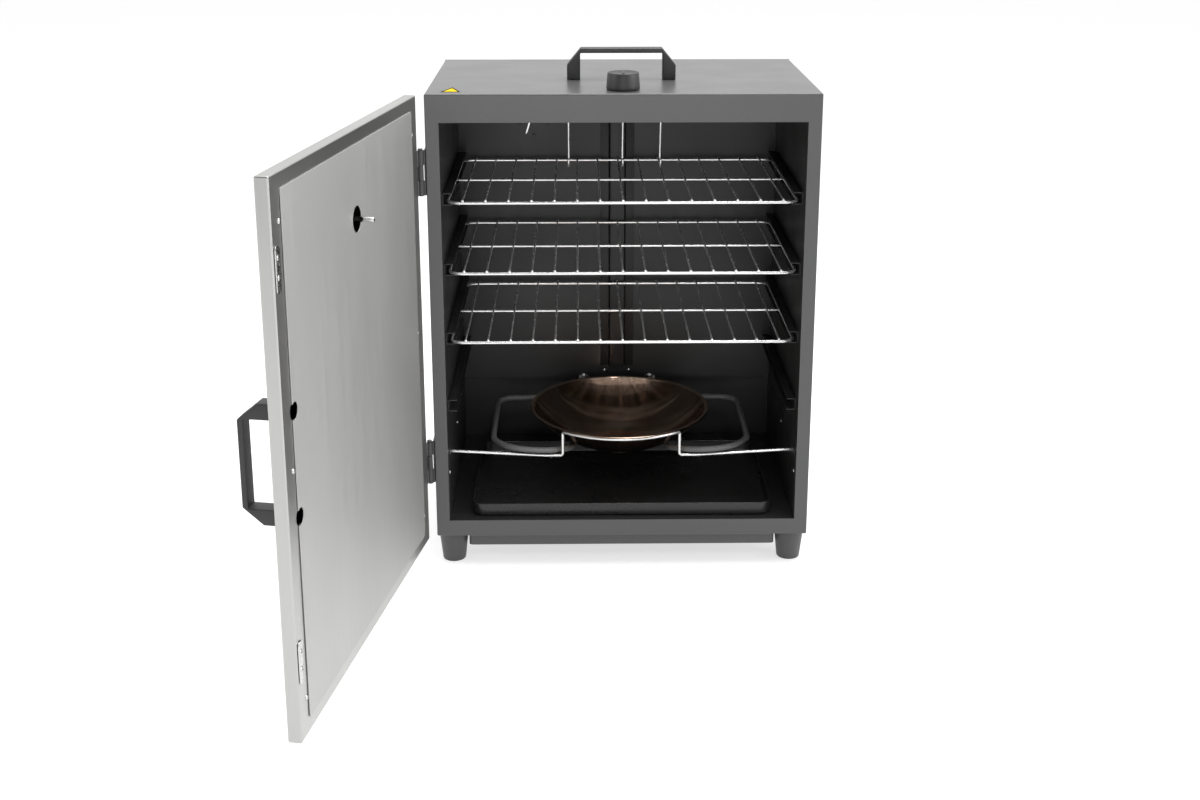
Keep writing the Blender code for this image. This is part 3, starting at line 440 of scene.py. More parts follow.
def contrast(tree, source, low, high):
    ramp = add_node(tree, "MapRange")
    ramp.interpolation_type = "SMOOTHSTEP"
    ramp.inputs["From Min"].default_value = low
    ramp.inputs["From Max"].default_value = high
    tree.links.new(source, ramp.inputs["Value"])
    return ramp.outputs["Result"]


grain_group, grain_in, grain_out = new_group(
    "fine_grain", [("Bumps per metre", "NodeSocketVector", (900, 900, 900))], ["Height", "Fleck"]
)
grain = stretched_noise(grain_group, grain_in.outputs[0], 2.0)
grain_group.links.new(grain, grain_out.inputs["Height"])
grain_group.links.new(contrast(grain_group, grain, 0.35, 0.7), grain_out.inputs["Fleck"])

brush_group, brush_in, brush_out = new_group(
    "brushed_lines", [("Lines per metre", "NodeSocketVector", (2500, 2500, 12))], ["Height", "Streak"]
)
brush = stretched_noise(brush_group, brush_in.outputs[0], 3.0, 0.65)
brush_group.links.new(brush, brush_out.inputs["Height"])
brush_group.links.new(contrast(brush_group, brush, 0.3, 0.7), brush_out.inputs["Streak"])

smudge_group, smudge_in, smudge_out = new_group(
    "soft_smudges", [("Smudges per metre", "NodeSocketVector", (14, 14, 14))], ["Smudge"]
)
smudge = stretched_noise(smudge_group, smudge_in.outputs[0], 2.0, 0.45)
smudge_group.links.new(contrast(smudge_group, smudge, 0.25, 0.75), smudge_out.inputs["Smudge"])
print("node groups:", [group.name for group in bpy.data.node_groups])

# %% [markdown]
# ## Finishes
#
# Every finish starts from one Principled shader with its plain values set on its own sockets. Then a
# texture mask blends two close colours, a second mask moves the roughness between two values, and a height
# goes through a Bump node into Normal. That is enough for powder coat, brushed steel, chrome, rubber and
# enamel, because their differences lie in the values and in the shape of the grain.


# %% A finish and its parts
def new_finish(name, colour, roughness, **plain):
    look = bpy.data.materials.new(name)
    look.use_nodes = True
    shader = look.node_tree.nodes["Principled BSDF"]
    shader.inputs["Base Color"].default_value = (*colour, 1)
    shader.inputs["Roughness"].default_value = roughness
    for socket, value in plain.items():
        shader.inputs[socket.replace("_", " ")].default_value = value
    return look


def add_group(look, group, scale):
    made = add_node(look.node_tree, "Group", node_tree=group)
    made.inputs[0].default_value = scale
    return made


def feed(look, source, socket):
    """Links a value to one socket of the finish's shader."""
    look.node_tree.links.new(source, look.node_tree.nodes["Principled BSDF"].inputs[socket])


def blend_colour(look, mask, first, second):
    mix = add_node(look.node_tree, "Mix", data_type="RGBA")
    mix.inputs["A"].default_value = (*first, 1)
    mix.inputs["B"].default_value = (*second, 1)
    look.node_tree.links.new(mask, mix.inputs["Factor"])
    feed(look, mix.outputs["Result"], "Base Color")


def vary_roughness(look, mask, low, high):
    spread = add_node(look.node_tree, "MapRange")
    spread.inputs["To Min"].default_value = low
    spread.inputs["To Max"].default_value = high
    look.node_tree.links.new(mask, spread.inputs["Value"])
    feed(look, spread.outputs["Result"], "Roughness")


def raise_bump(look, height, depth):
    bump = add_node(look.node_tree, "Bump")
    bump.inputs["Strength"].default_value = 1.0
    bump.inputs["Distance"].default_value = depth
    look.node_tree.links.new(height, bump.inputs["Height"])
    feed(look, bump.outputs["Normal"], "Normal")


def grey(shade, tint=0.0):
    """A grey, whose blue may be a little stronger or weaker."""
    return (shade, shade, shade + tint)


def grained(name, light, dark, roughness, bumps, depth, **plain):
    """A finish with a fine even grain, such as powder coat, moulded plastic, rubber or enamel."""
    look = new_finish(name, light, roughness[0], **plain)
    grain = add_group(look, grain_group, (bumps, bumps, bumps))
    smudges = add_group(look, smudge_group, (16, 16, 16))
    blend_colour(look, grain.outputs["Fleck"], light, dark)
    vary_roughness(look, smudges.outputs["Smudge"], *roughness)
    raise_bump(look, grain.outputs["Height"], depth)
    return look


def lined(name, light, dark, roughness, lines, depth, **plain):
    """A metal with long fine lines, such as brushed, rolled or drawn steel."""
    look = new_finish(name, light, roughness[0], **{"Metallic": 1.0, **plain})
    brushed = add_group(look, brush_group, lines)
    smudges = add_group(look, smudge_group, (9, 9, 5))
    blend_colour(look, smudges.outputs["Smudge"], light, dark)
    vary_roughness(look, brushed.outputs["Streak"], *roughness)
    raise_bump(look, brushed.outputs["Height"], depth)
    return look


# %% [markdown]
# ### The case, the plastics and the rubber
#
# Powder coat is a fused plastic film. It keeps a very fine pebble from the powder and a soft satin gloss,
# which is why the top mirrors the pale room at a low angle. The handles and knob are moulded with a finer
# matt grain, and the feet are plain grey rubber.

# %% Paints, plastics and rubber
case_paint = grained(
    "powder_coat", grey(0.074, 0.001), grey(0.066, 0.001), (0.28, 0.32), 1300, 0.00002
)
handle_plastic = grained(
    "moulded_black", grey(0.024, 0.001), grey(0.019, 0.001), (0.40, 0.50), 2200, 0.00004
)
foot_rubber = grained(
    "foot_rubber", grey(0.062, 0.001), grey(0.048, 0.001), (0.48, 0.60), 1600, 0.00005
)
tray_enamel = grained("pan_enamel", grey(0.012), grey(0.018), (0.22, 0.34), 900, 0.000012)
hinge_paint = grained(
    "hinge_paint", grey(0.030, 0.001), grey(0.045, 0.001), (0.30, 0.42), 1800, 0.00004
)

# %% [markdown]
# ### The steels
#
# The door is brushed stainless steel, with its lines running up and down. The liner is steel under a thin
# dark coat, smooth enough to mirror the racks faintly. Rack wire and hooks are bright chrome.
# The heater's sheath has a grey oxide skin from the heat.

# %% Steels
door_steel = lined(
    "brushed_door_steel", grey(0.49, -0.01), grey(0.465, -0.01), (0.56, 0.66), (1300, 1300, 8), 0.000006
)
liner_steel = grained(
    "dark_liner_coat", grey(0.024), grey(0.020), (0.34, 0.42), 1500, 0.000006, Specular_IOR_Level=0.35
)
pan_steel = lined(
    "door_pan_steel", grey(0.47, -0.01), grey(0.43, -0.01), (0.32, 0.37), (1500, 1500, 40), 0.000003
)
bright_steel = lined(
    "plain_bright_steel", grey(0.60, -0.01), grey(0.50, -0.01), (0.16, 0.30), (600, 600, 600), 0.00001
)
chrome_wire = lined(
    "chromed_wire", grey(0.84), grey(0.76), (0.18, 0.28), (300, 300, 300), 0.00001, Metallic=0.8
)
heater_sheath = grained(
    "oxide_sheath", grey(0.150), (0.105, 0.104, 0.102), (0.40, 0.52), 700, 0.00003
)

# %% [markdown]
# ### The bowl, the dial and the sticker
#
# Heat has tinted the polished bowl from straw through bronze to brown. Its colour changes with a soft
# noise, and fine rings from polishing on a lathe run round its centre. The dial is printed white
# card under glass, and the sticker is plain yellow with a dark border and no symbol.

# %% Bowl, dial and sticker finishes
bowl_low, bowl_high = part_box("chip_bowl")
BOWL_CENTRE = (bowl_low + bowl_high) / 2
bowl_tint = new_finish("heat_tinted_steel", (0.36, 0.25, 0.17), 0.12, Metallic=1.0)


def tint_bowl(look):
    tree = look.node_tree
    place = add_node(tree, "TexCoord")
    centred = add_node(tree, "Mapping")
    centred.inputs["Location"].default_value = (-BOWL_CENTRE.x, -BOWL_CENTRE.y, -bowl_low.z)
    rings = add_node(tree, "TexWave", wave_type="RINGS", rings_direction="Z")
    rings.inputs["Scale"].default_value = 260
    rings.inputs["Distortion"].default_value = 1.5
    rings.inputs["Detail"].default_value = 3
    tree.links.new(place.outputs["Object"], centred.inputs["Vector"])
    tree.links.new(centred.outputs["Vector"], rings.inputs["Vector"])
    smudges = add_group(look, smudge_group, (22, 22, 40))
    blend_colour(look, smudges.outputs["Smudge"], (0.80, 0.60, 0.46), (0.50, 0.33, 0.24))
    vary_roughness(look, rings.outputs["Fac"], 0.06, 0.13)
    raise_bump(look, rings.outputs["Fac"], 0.000012)


tint_bowl(bowl_tint)
dial_card = grained("dial_card", grey(0.82, -0.02), grey(0.78, -0.02), (0.45, 0.55), 900, 0.00001)
dial_ink = grained("dial_ink", grey(0.02), grey(0.03), (0.4, 0.5), 900, 0.00001)
needle_red = grained("pointer_red", (0.55, 0.03, 0.02), (0.48, 0.03, 0.02), (0.3, 0.4), 900, 0.00001)
sticker_yellow = grained(
    "sticker_yellow", (0.62, 0.43, 0.01), (0.56, 0.39, 0.01), (0.8, 0.9), 700, 0.00001,
    Specular_IOR_Level=0.1,
)
sticker_border = grained(
    "sticker_border", (0.02, 0.018, 0.01), (0.03, 0.026, 0.02), (0.8, 0.9), 700, 0.00001,
    Specular_IOR_Level=0.0,
)
dark_gap = grained("dark_gap", grey(0.01), grey(0.015), (0.5, 0.7), 600, 0.00002)
dial_glass = new_finish("window_glass", (0.96, 0.97, 0.97), 0.03, Transmission_Weight=1.0, IOR=1.46)
print(len(bpy.data.materials), "finishes")


def hand_in(piece, finish, body, *nodes):
    leave_edit()
    piece.data.materials.clear()
    piece.data.materials.append(finish)
    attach(piece, body)
    if nodes:
        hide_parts(*nodes)
    print(piece.name, "has", len(piece.data.polygons), "faces and rides on", body)


# %% [markdown]
# ## Screws and rivets
#
# Small fixings tell the eye how big things are. One pan-head screw with a cross recess and one domed rivet
# are made at the origin, facing up, and copied wherever they are needed. The originals are deleted at the
# end of the lesson.

# %% One screw and one rivet
DOME = arc((0, 0), 1, 90, 0, 6)


def pan_head(name, radius, height):
    outline = [(radius * x, height * (0.35 + 0.65 * y)) for x, y in DOME]
    head = spin_round(name, [*outline, (radius, 0), (0, 0)], steps=24)
    half, wide, floor_z = radius * 0.55, radius * 0.13, height * 0.45
    across = add_box("across", (-half, -wide, floor_z), (half, wide, height * 2))
    along = add_box("along", (-wide, -half, floor_z), (wide, half, height * 2))
    cut_away(head, across, along)
    smooth(head, 30)
    return head


screw_small = pan_head("screw_small", 0.0028, 0.0018)
screw_large = pan_head("screw_large", 0.0048, 0.0027)
rivet = spin_round("rivet", [*[(0.0024 * x, 0.0012 * y) for x, y in DOME], (0, 0)], steps=20)
print("screw", len(screw_small.data.polygons), "faces, rivet", len(rivet.data.polygons))


def fix(name, master, places, facing):
    """A copy of a fixing at each place, joined into one piece."""
    made = [copy_of(master, f"{name}_{i}", place, facing) for i, place in enumerate(places)]
    return join_as(name, *made)


# %% [markdown]
# ## The case
#
# The real case is one sheet folded round the top and sides, with a front frame welded in, so its long
# edges are soft bends. It is made from a box: the back is taken off, the front is inset to make the frame,
# the opening is deleted, the sheet gets its thickness, and a small bevel turns the edges into bends.

# %% Outer case
case_low, case_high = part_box("outer_case")
OPEN_LOW, OPEN_HIGH = 0.034, 0.467
FRAME, SHEET = 0.014, 0.0012

case = add_box("case_shell", case_low, case_high)
pick(case, "FACE", lambda at, facing: facing.y > 0.9)
bpy.ops.mesh.delete(type="FACE")
pick(case, "FACE", lambda at, facing: facing.y < -0.9)
bpy.ops.mesh.inset(thickness=FRAME)
pick(case, "EDGE", lambda at, along: abs(at.x) < 0.001 and at.y < -0.13 and 0.47 < at.z < 0.49)
bpy.ops.transform.translate(value=(0, 0, OPEN_HIGH - (case_high.z - FRAME)))
pick(case, "EDGE", lambda at, along: abs(at.x) < 0.001 and at.y < -0.13 and 0.02 < at.z < 0.04)
bpy.ops.transform.translate(value=(0, 0, OPEN_LOW - (case_low.z + FRAME)))
pick(case, "FACE", lambda at, facing: facing.y < -0.9 and abs(at.x) < 0.01 and 0.1 < at.z < 0.4)
bpy.ops.mesh.delete(type="FACE")
leave_edit()
soften(case, 0.0017, 4, 60)
give_wall(case, SHEET)
smooth(case)
weigh_normals(case)
hand_in(case, case_paint, "cabinet", "outer_case")

# %% [markdown]
# The base pan is a shallow tray under the case. The gap that it leaves above the feet reads as a dark strip
# from the front. Two rows of slots let air into the case from below, and each is a short rounded cut.

# %% Base pan
pan_low, pan_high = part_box("base_pan")
pan = rounded_box("base_pan_shell", pan_low, pan_high, 2, 0.004, 4)
pick(pan, "FACE", lambda at, facing: facing.z > 0.9)
bpy.ops.mesh.delete(type="FACE")
leave_edit()
give_wall(pan, 0.001)
SLOT_HALF, SLOT_PITCH = Vector((0.011, 0.002, 0.004)), 0.032
slots = []
for row in (-0.05, 0.05):
    for step in range(-3, 4):
        spot = Vector((step * SLOT_PITCH, row, 0))
        slots.append(rounded_box("slot", spot - SLOT_HALF, spot + SLOT_HALF, 2, 0.0019, 3))
cut_away(pan, join_as("slots", *slots))
smooth(pan)
hand_in(pan, case_paint, "cabinet", "base_pan")

# %% [markdown]
# Each foot is a tapered rubber plug with a rounded bottom edge and a recess for its screw. One outline is
# spun, and the finished foot is copied to the other three corners.

# %% Feet
foot_low, foot_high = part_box("foot_front_left")
foot_middle = (foot_low + foot_high) / 2
foot_outline = [(0, -0.0300), (0.0042, -0.0300), (0.0048, -0.0306), (0.0052, -0.0350)]
foot_outline += [(0.0112, -0.0350), (0.0120, -0.0346), (0.0125, -0.0337)]
foot_outline += [(0.0158, -0.0040), (0.0160, -0.0030), (0.0160, -0.0012), (0.0154, -0.0004), (0, -0.0003)]
foot_master = spin_round("foot_master", foot_outline, steps=40)
for side in ("left", "right"):
    for end in ("front", "rear"):
        low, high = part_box(f"foot_{end}_{side}")
        spot = ((low.x + high.x) / 2, (low.y + high.y) / 2, case_low.z)
        foot = copy_of(foot_master, f"rubber_foot_{end}_{side}", spot)
        hand_in(foot, foot_rubber, "cabinet", f"foot_{end}_{side}")
bpy.data.objects.remove(foot_master)
FOOT_RECESS_Z = -0.0141
spots = [(sx * foot_middle.x, sy * foot_middle.y, FOOT_RECESS_Z) for sx in (-1, 1) for sy in (-1, 1)]
foot_screws = fix("foot_screws", screw_small, spots, (0, 0, -1))
hand_in(foot_screws, bright_steel, "cabinet")

# %% [markdown]
# The rear cover is a flat screwed-on sheet with openings for the vent pipe and the mains socket. The packed
# sheet has both cut out already, so it stays as it is, and only its screws are added.

# %% Screws of the rear cover
back_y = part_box("rear_cover")[1].y
rear_spots = [(x, back_y, z) for x in (-0.188, 0, 0.188) for z in (0.028, 0.484)]
rear_spots += [(x, back_y, 0.256) for x in (-0.188, 0.188)]
rear_screws = fix("rear_cover_screws", screw_small, rear_spots, (0, 1, 0))
hand_in(rear_screws, bright_steel, "cabinet")

# %% [markdown]
# The mains socket is a black moulded block with a lip, a deep recess and three flat pins.

# %% Mains socket
inlet_low, inlet_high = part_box("power_inlet")
inlet_mid = (inlet_low + inlet_high) / 2
lip_y = inlet_high.y - 0.002
socket = rounded_box("mains_socket", (inlet_low.x, lip_y, inlet_low.z), inlet_high, 1, 0.003, 4)
pick(socket, "FACE", lambda at, facing: facing.y < -0.9)
bpy.ops.mesh.inset(thickness=0.0043)
bpy.ops.mesh.extrude_region_move(TRANSFORM_OT_translate={"value": (0, inlet_low.y - lip_y, 0)})
pick(socket, "FACE", lambda at, facing: facing.y > 0.9)
bpy.ops.mesh.inset(thickness=0.0068)
bpy.ops.mesh.extrude_region_move(TRANSFORM_OT_translate={"value": (0, -0.008, 0)})
leave_edit()
face_out(socket)
soften(socket, 0.0004, 2, 50)
smooth(socket)
hand_in(socket, handle_plastic, "cabinet", "power_inlet")
PIN_HALF = Vector((0.001, 0.003, 0.0022))
pins = []
for x, z in ((-0.005, -0.0015), (0.005, -0.0015), (0, 0.003)):
    spot = Vector((inlet_mid.x + x, lip_y - PIN_HALF.y, inlet_mid.z + z))
    pins.append(add_box("pin", spot - PIN_HALF, spot + PIN_HALF))
pins = join_as("mains_pins", *pins)
soften(pins, 0.0003, 2)
hand_in(pins, bright_steel, "cabinet")

# %% [markdown]
# ## Handles
#
# Both handles are the same moulding: a bar on two legs, with sloping shoulders. The side view is drawn as a
# closed line, filled, and pushed out to the handle's depth. A bevel then rounds every edge.


# %% The handle's outline and both handles
HANDLE_RISE, HANDLE_LEG, HANDLE_BAR, HANDLE_DEPTH = 0.033, 0.014, 0.005, 0.015
SHOULDER_HIGH, SHOULDER_WIDE = 0.0175, 0.0145


def handle_side_view(length):
    half = length / 2
    outside = [(-half, 0), (-half, HANDLE_RISE - SHOULDER_HIGH), (-half + SHOULDER_WIDE, HANDLE_RISE)]
    inside = [(-half + HANDLE_LEG, HANDLE_RISE - HANDLE_BAR), (-half + HANDLE_LEG, 0)]
    right = [(-x, z) for x, z in reversed(outside)]
    right_inside = [(-x, z) for x, z in reversed(inside)]
    return outside + right + right_inside + inside


def make_handle(name, length):
    """A handle at the origin that stands on the ground and lies along X."""
    points = [(x, -HANDLE_DEPTH / 2, z) for x, z in handle_side_view(length)]
    grip = push_outline(name, points, (0, HANDLE_DEPTH, 0))
    soften(grip, 0.0010, 4, 20)
    smooth(grip, 30)
    return grip


top_low, top_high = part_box("top_handle")
top_grip = make_handle("top_handle_grip", 0.115)
select_only(top_grip)
bpy.ops.transform.translate(value=(0, (top_low.y + top_high.y) / 2, top_low.z))
settle()
hand_in(top_grip, handle_plastic, "cabinet", "top_handle")

# %% [markdown]
# ## Thermostat knob
#
# The knob is a slightly tapered turned piece with a dished top. A raised pointer on the top shows the
# setting. The pointer is a small box with its edges rounded, joined to the knob.

# %% Knob
knob_low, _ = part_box("thermostat_knob")
KNOB = Vector((0, -0.101, knob_low.z))
knob_outline = [(0, 0.0164), (0.0128, 0.0164), (0.0137, 0.0170), (0.0150, 0.0170), (0.0157, 0.0166)]
knob_outline += [(0.0160, 0.0158), (0.0171, 0.0030), (0.0172, 0.0008), (0.0168, 0.0), (0.0030, 0.0), (0, 0.0)]
knob = spin_round("knob_body", knob_outline, KNOB, steps=72)
pointer = add_box(
    "pointer", KNOB + Vector((-0.0013, -0.0150, 0.0155)), KNOB + Vector((0.0013, 0.004, 0.0180))
)
soften(pointer, 0.0005, 3)
knob = join_as("knob_body", knob, pointer)
smooth(knob)
hand_in(knob, handle_plastic, "knob", "thermostat_knob")

# %% [markdown]
# A triangular sticker sits at the front left of the top. It is a thin dark triangle with a smaller yellow
# one on it. Both are three-sided drums of paper-thin height, stretched a little, and carry no symbol.

# %% Sticker
STICKER_X, STICKER_Y, STICKER_R = -0.1745, -0.1075, 0.0122
STICKER_LAYERS = (
    ("border", sticker_border, 1.0, 0.0, 0.00010),
    ("face", sticker_yellow, 0.70, 0.0001, 0.00016),
)
for label, finish, share, low_z, high_z in STICKER_LAYERS:
    select_only()
    bpy.ops.mesh.primitive_cylinder_add(
        vertices=3, radius=STICKER_R * share, depth=high_z - low_z,
        location=(STICKER_X, STICKER_Y, case_high.z + (low_z + high_z) / 2), scale=(1, 1.75, 1),
    )
    paper = settle(f"sticker_{label}")
    round_along(paper, 2, 0.0008 * share, 3)
    hand_in(paper, finish, "cabinet")

# %% [markdown]
# ## Liner
#
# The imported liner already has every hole, so it stays and takes the dark steel. On the real one a lower tub
# laps over the upper walls, and the edge of that lap shows as a fine line along the back and sides, with a
# few rivet heads. The lap is made as three thin sheets, and the rivets are copies.

# %% Lap and rivets of the liner
LAP_HIGH, LAP_LOW, LINER_X, LAP_X = 0.1080, 0.0342, 0.1860, 0.1855
back_lap = add_box("lap", (-0.1858, 0.1204, LAP_LOW), (0.1858, 0.1210, LAP_HIGH))
left_lap = add_box("lap", (-LINER_X, -0.1270, LAP_LOW), (-LAP_X, 0.1205, LAP_HIGH))
right_lap = add_box("lap", (LAP_X, -0.1270, LAP_LOW), (LINER_X, 0.1205, LAP_HIGH))
lap = join_as("liner_lap", back_lap, left_lap, right_lap)
soften(lap, 0.00012, 1)
hand_in(lap, liner_steel, "cabinet")
for side, sign in (("left", -1), ("right", 1)):
    spots = [(sign * LAP_X, y, z) for y, z in ((-0.008, 0.1), (-0.118, 0.085))]
    side_rivets = fix(f"liner_rivets_{side}", rivet, spots, (-sign, 0, 0))
    hand_in(side_rivets, bright_steel, "cabinet")

# %% [markdown]
# The wiring channel is a hat section: two flat flanges and a raised web, folded from one strip. Its section
# is drawn, pushed upwards, and given thickness, and its folds are bevelled so that they catch the light.

# %% Wiring channel
channel_low, channel_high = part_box("wiring_channel")
back, fore = channel_high.y, channel_low.y
hat = [(-0.020, back), (-0.0097, back), (-0.0079, fore), (0.0079, fore), (0.0097, back), (0.020, back)]
channel = draw_line("wiring_hat", [(x, y, channel_low.z) for x, y in hat])
bpy.ops.mesh.select_all(action="SELECT")
rise = channel_high.z - channel_low.z
bpy.ops.mesh.extrude_region_move(TRANSFORM_OT_translate={"value": (0, 0, rise)})
bpy.ops.mesh.select_all(action="SELECT")
bpy.ops.mesh.normals_make_consistent(inside=False)
leave_edit()
give_wall(channel, 0.001, 0)
select_only(channel)
low_y = min(v.co.y for v in channel.data.vertices)
bpy.ops.transform.translate(value=(0, fore - low_y, 0))
settle()
face_out(channel)
soften(channel, 0.0004, 2, 20)
smooth(channel, 30)
hand_in(channel, liner_steel, "cabinet", "wiring_channel")
spots = [(x, back - 0.0006, z) for x in (-0.0148, 0.0148) for z in (0.118, 0.440)]
channel_screws = fix("channel_screws", rivet, spots, (0, -1, 0))
hand_in(channel_screws, bright_steel, "cabinet")

# %% [markdown]
# ## Rails
#
# Each rail is a strip folded to a channel, with its open side inwards, and a rack slides in it. The open
# section is drawn as a line of three edges, pushed along the depth, and given its sheet thickness.

# %% One rail and its copies
rail_low, rail_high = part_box("rail_right_1")
section = [(rail_low.x, rail_low.z), (rail_high.x, rail_low.z)]
section += [(rail_high.x, rail_high.z), (rail_low.x, rail_high.z)]
rail = draw_line("rail_master", [(x, rail_low.y, z) for x, z in section])
bpy.ops.mesh.select_all(action="SELECT")
bpy.ops.mesh.extrude_region_move(TRANSFORM_OT_translate={"value": (0, rail_high.y - rail_low.y, 0)})
pick(rail, "EDGE", lambda at, along: abs(along.y) > 0.9 and at.x > rail_high.x - 0.0001)
bpy.ops.mesh.bevel(offset=0.0016, segments=3)
bpy.ops.mesh.select_all(action="SELECT")
bpy.ops.mesh.normals_make_consistent(inside=False)
leave_edit()
press(rail, "SOLIDIFY", "wall", thickness=0.001, offset=0)
face_out(rail)
smooth(rail)
for level in range(1, 5):
    for side, sign in (("right", 1), ("left", -1)):
        low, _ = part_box(f"rail_{side}_{level}")
        new_rail = copy_of(rail, f"rack_rail_{side}_{level}", (0, 0, low.z - rail_low.z))
        if sign < 0:
            bpy.ops.transform.mirror(constraint_axis=(True, False, False), center_override=(0, 0, 0))
            settle()
            face_out(new_rail)
        smooth(new_rail)
        hand_in(new_rail, liner_steel, "cabinet", f"rail_{side}_{level}")
bpy.data.objects.remove(rail)

# %% [markdown]
# ## Racks
#
# A rack is a rim of thick wire bent to a rectangle, with one cross wire under fifteen thinner long wires,
# all spot-welded and chromed. The rim starts as a flat rectangle whose corners are bevelled into bends. The
# long wire is made once and repeated with an Array modifier, and so is the row of weld beads. The beads
# matter: they are the small bright bumps along the front of each rack.

# %% One rack and its copies
rack_low, rack_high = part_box("rack_top")
RIM_R, CROSS_R, LONG_R, PITCH = 0.0017, 0.0015, 0.0011, 0.0236
rim_x = rack_high.x - RIM_R
rim_front, rim_back = rack_low.y + RIM_R, rack_high.y - RIM_R
rim_z = rack_low.z + RIM_R
rim_middle = (rim_front + rim_back) / 2


def make_rack(name):
    rim = wire_frame(name, rim_x, rim_front, rim_back, rim_z, 0.013, 7)
    thicken(rim, RIM_R, 4)
    cross = draw_line("cross", [(-rim_x, rim_middle, rim_z + 0.0004), (rim_x, rim_middle, rim_z + 0.0004)])
    leave_edit()
    thicken(cross, CROSS_R, 3)
    first_x = -7 * PITCH
    wire_z = rim_z + RIM_R + 0.7 * LONG_R
    wire = draw_line("long", [(first_x, rim_front - 0.0012, wire_z), (first_x, rim_back + 0.0012, wire_z)])
    leave_edit()
    thicken(wire, LONG_R, 2)
    beads = []
    for y, size in ((rim_front - 0.0003, 0.0017), (rim_back + 0.0003, 0.0017), (rim_middle, 0.0014)):
        select_only()
        bpy.ops.mesh.primitive_ico_sphere_add(
            subdivisions=2, radius=size, location=(first_x, y, wire_z - 0.0002), scale=(1, 0.9, 0.9)
        )
        beads.append(settle("bead"))
    row = join_as("row", wire, *beads)
    press(
        row, "ARRAY", "row", count=15, use_relative_offset=False,
        use_constant_offset=True, constant_offset_displace=(PITCH, 0, 0),
    )
    rack = join_as(name, row, cross, rim)
    smooth(rack, 50)
    return rack


first_rack = make_rack("wire_rack_top")
lowest = {name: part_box(f"rack_{name}")[0].z for name in ("top", "middle", "lower")}
for name in ("middle", "lower"):
    rack = copy_of(first_rack, f"wire_rack_{name}", (0, 0, lowest[name] - lowest["top"]))
    hand_in(rack, chrome_wire, f"{name}_rack", f"rack_{name}")
hand_in(first_rack, chrome_wire, "top_rack", "rack_top")

# %% [markdown]
# ## Rod, hooks and sensor
#
# The hanging rod is plain bright bar. Each hook is one wire bent to an S, with its lower end ground to a
# point, which the taper makes. The sensor is a thin sealed bulb on a thinner tube that leans into the
# cabinet from a grommet in its ceiling.

# %% Hanging rod and hooks
rod_low, rod_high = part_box("hanging_rod")
rod_mid = (rod_low + rod_high) / 2
rod = add_drum("hanging_bar", rod_mid, 0.003, rod_high.x - rod_low.x, "X", 32)
soften(rod, 0.0004, 2, 60)
smooth(rod)
hand_in(rod, bright_steel, "cabinet", "hanging_rod")

HOOK_R, BEND_R, DROP, OVER = 0.0013, 0.0080, 0.046, 0.0046
upper_bend = arc((0, 0), OVER, -40, 180, 14)
lower_bend = arc((0, -DROP), BEND_R, 0, -195, 14)
shank = [(-OVER * 0.95, -0.006), (0.0015, -DROP * 0.45), (BEND_R * 0.97, -DROP + 0.006)]
hook_line = [(0, rod_mid.y + y, rod_mid.z + z) for y, z in [*upper_bend, *shank, *lower_bend]]
hook_master = draw_line("hook_master", hook_line)
leave_edit()
round_corners(
    hook_master, 0.004, 4,
    lambda at: -0.04 < at.z - rod_mid.z < -0.005 and abs(at.y - rod_mid.y) < 0.007,
)
thicken(hook_master, HOOK_R, 3, (0.75, 0.25))
for number in (1, 2, 3):
    low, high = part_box(f"s_hook_{number}")
    hook = copy_of(hook_master, f"meat_hook_{number}", ((low.x + high.x) / 2, 0, 0))
    hand_in(hook, chrome_wire, f"hook_{number}", f"s_hook_{number}")
bpy.data.objects.remove(hook_master)

# %% Sensor bulb
probe_top = Vector((-0.091, 0.007, 0.4710))
LEAN = math.radians(17)
lean = Vector((-math.sin(LEAN), 0, -math.cos(LEAN)))
bulb = [(0, 0.0), (0.0009, 0.0), (0.0009, 0.009), (0.0012, 0.011), (0.0017, 0.0125), (0.0017, 0.039)]
bulb += [(0.0014, 0.041), (0.0007, 0.042), (0, 0.0422)]
sensor = spin_round("sensor_bulb", bulb, steps=24)
sensor = copy_of(sensor, "sensor_bulb_in_place", probe_top, lean)
bpy.data.objects.remove(bpy.data.objects["sensor_bulb"])
hand_in(sensor, chrome_wire, "cabinet", "sensor_probe")
grommet_spot = probe_top + lean * ((probe_top.z - OPEN_HIGH) / -lean.z)
ring = [(0.0018, -0.0020), (0.0050, -0.0018), (0.0058, -0.0010), (0.0058, 0.0), (0.0018, 0.0)]
grommet = spin_round("sensor_grommet", [*ring, ring[0]], grommet_spot, steps=32)
hand_in(grommet, foot_rubber, "cabinet")

# %% [markdown]
# ## Bowl
#
# The chip bowl is spun from sheet on a lathe: a dished floor, a flared wall, a flat lip with a turned-down
# edge, and a foot ring that stands on nothing but keeps the bowl from rolling. Its whole section, inside and
# outside, is one outline, so one spin makes it with its true thickness.

# %% Chip bowl
RIM_TOP, FLOOR, WALL_R, THICK = 0.1185, 0.0745, 0.0975, 0.0009
FOOT_R, FOOT_LOW = 0.0205, 0.0675


def dish(share, lift):
    """A point of the wall, which rises slowly over the middle and steeply near the lip."""
    rise = 0.9 * share**2 + 0.1 * share**12
    return (FOOT_R + (WALL_R - FOOT_R) * share, FLOOR + (RIM_TOP - THICK - FLOOR) * rise + lift)


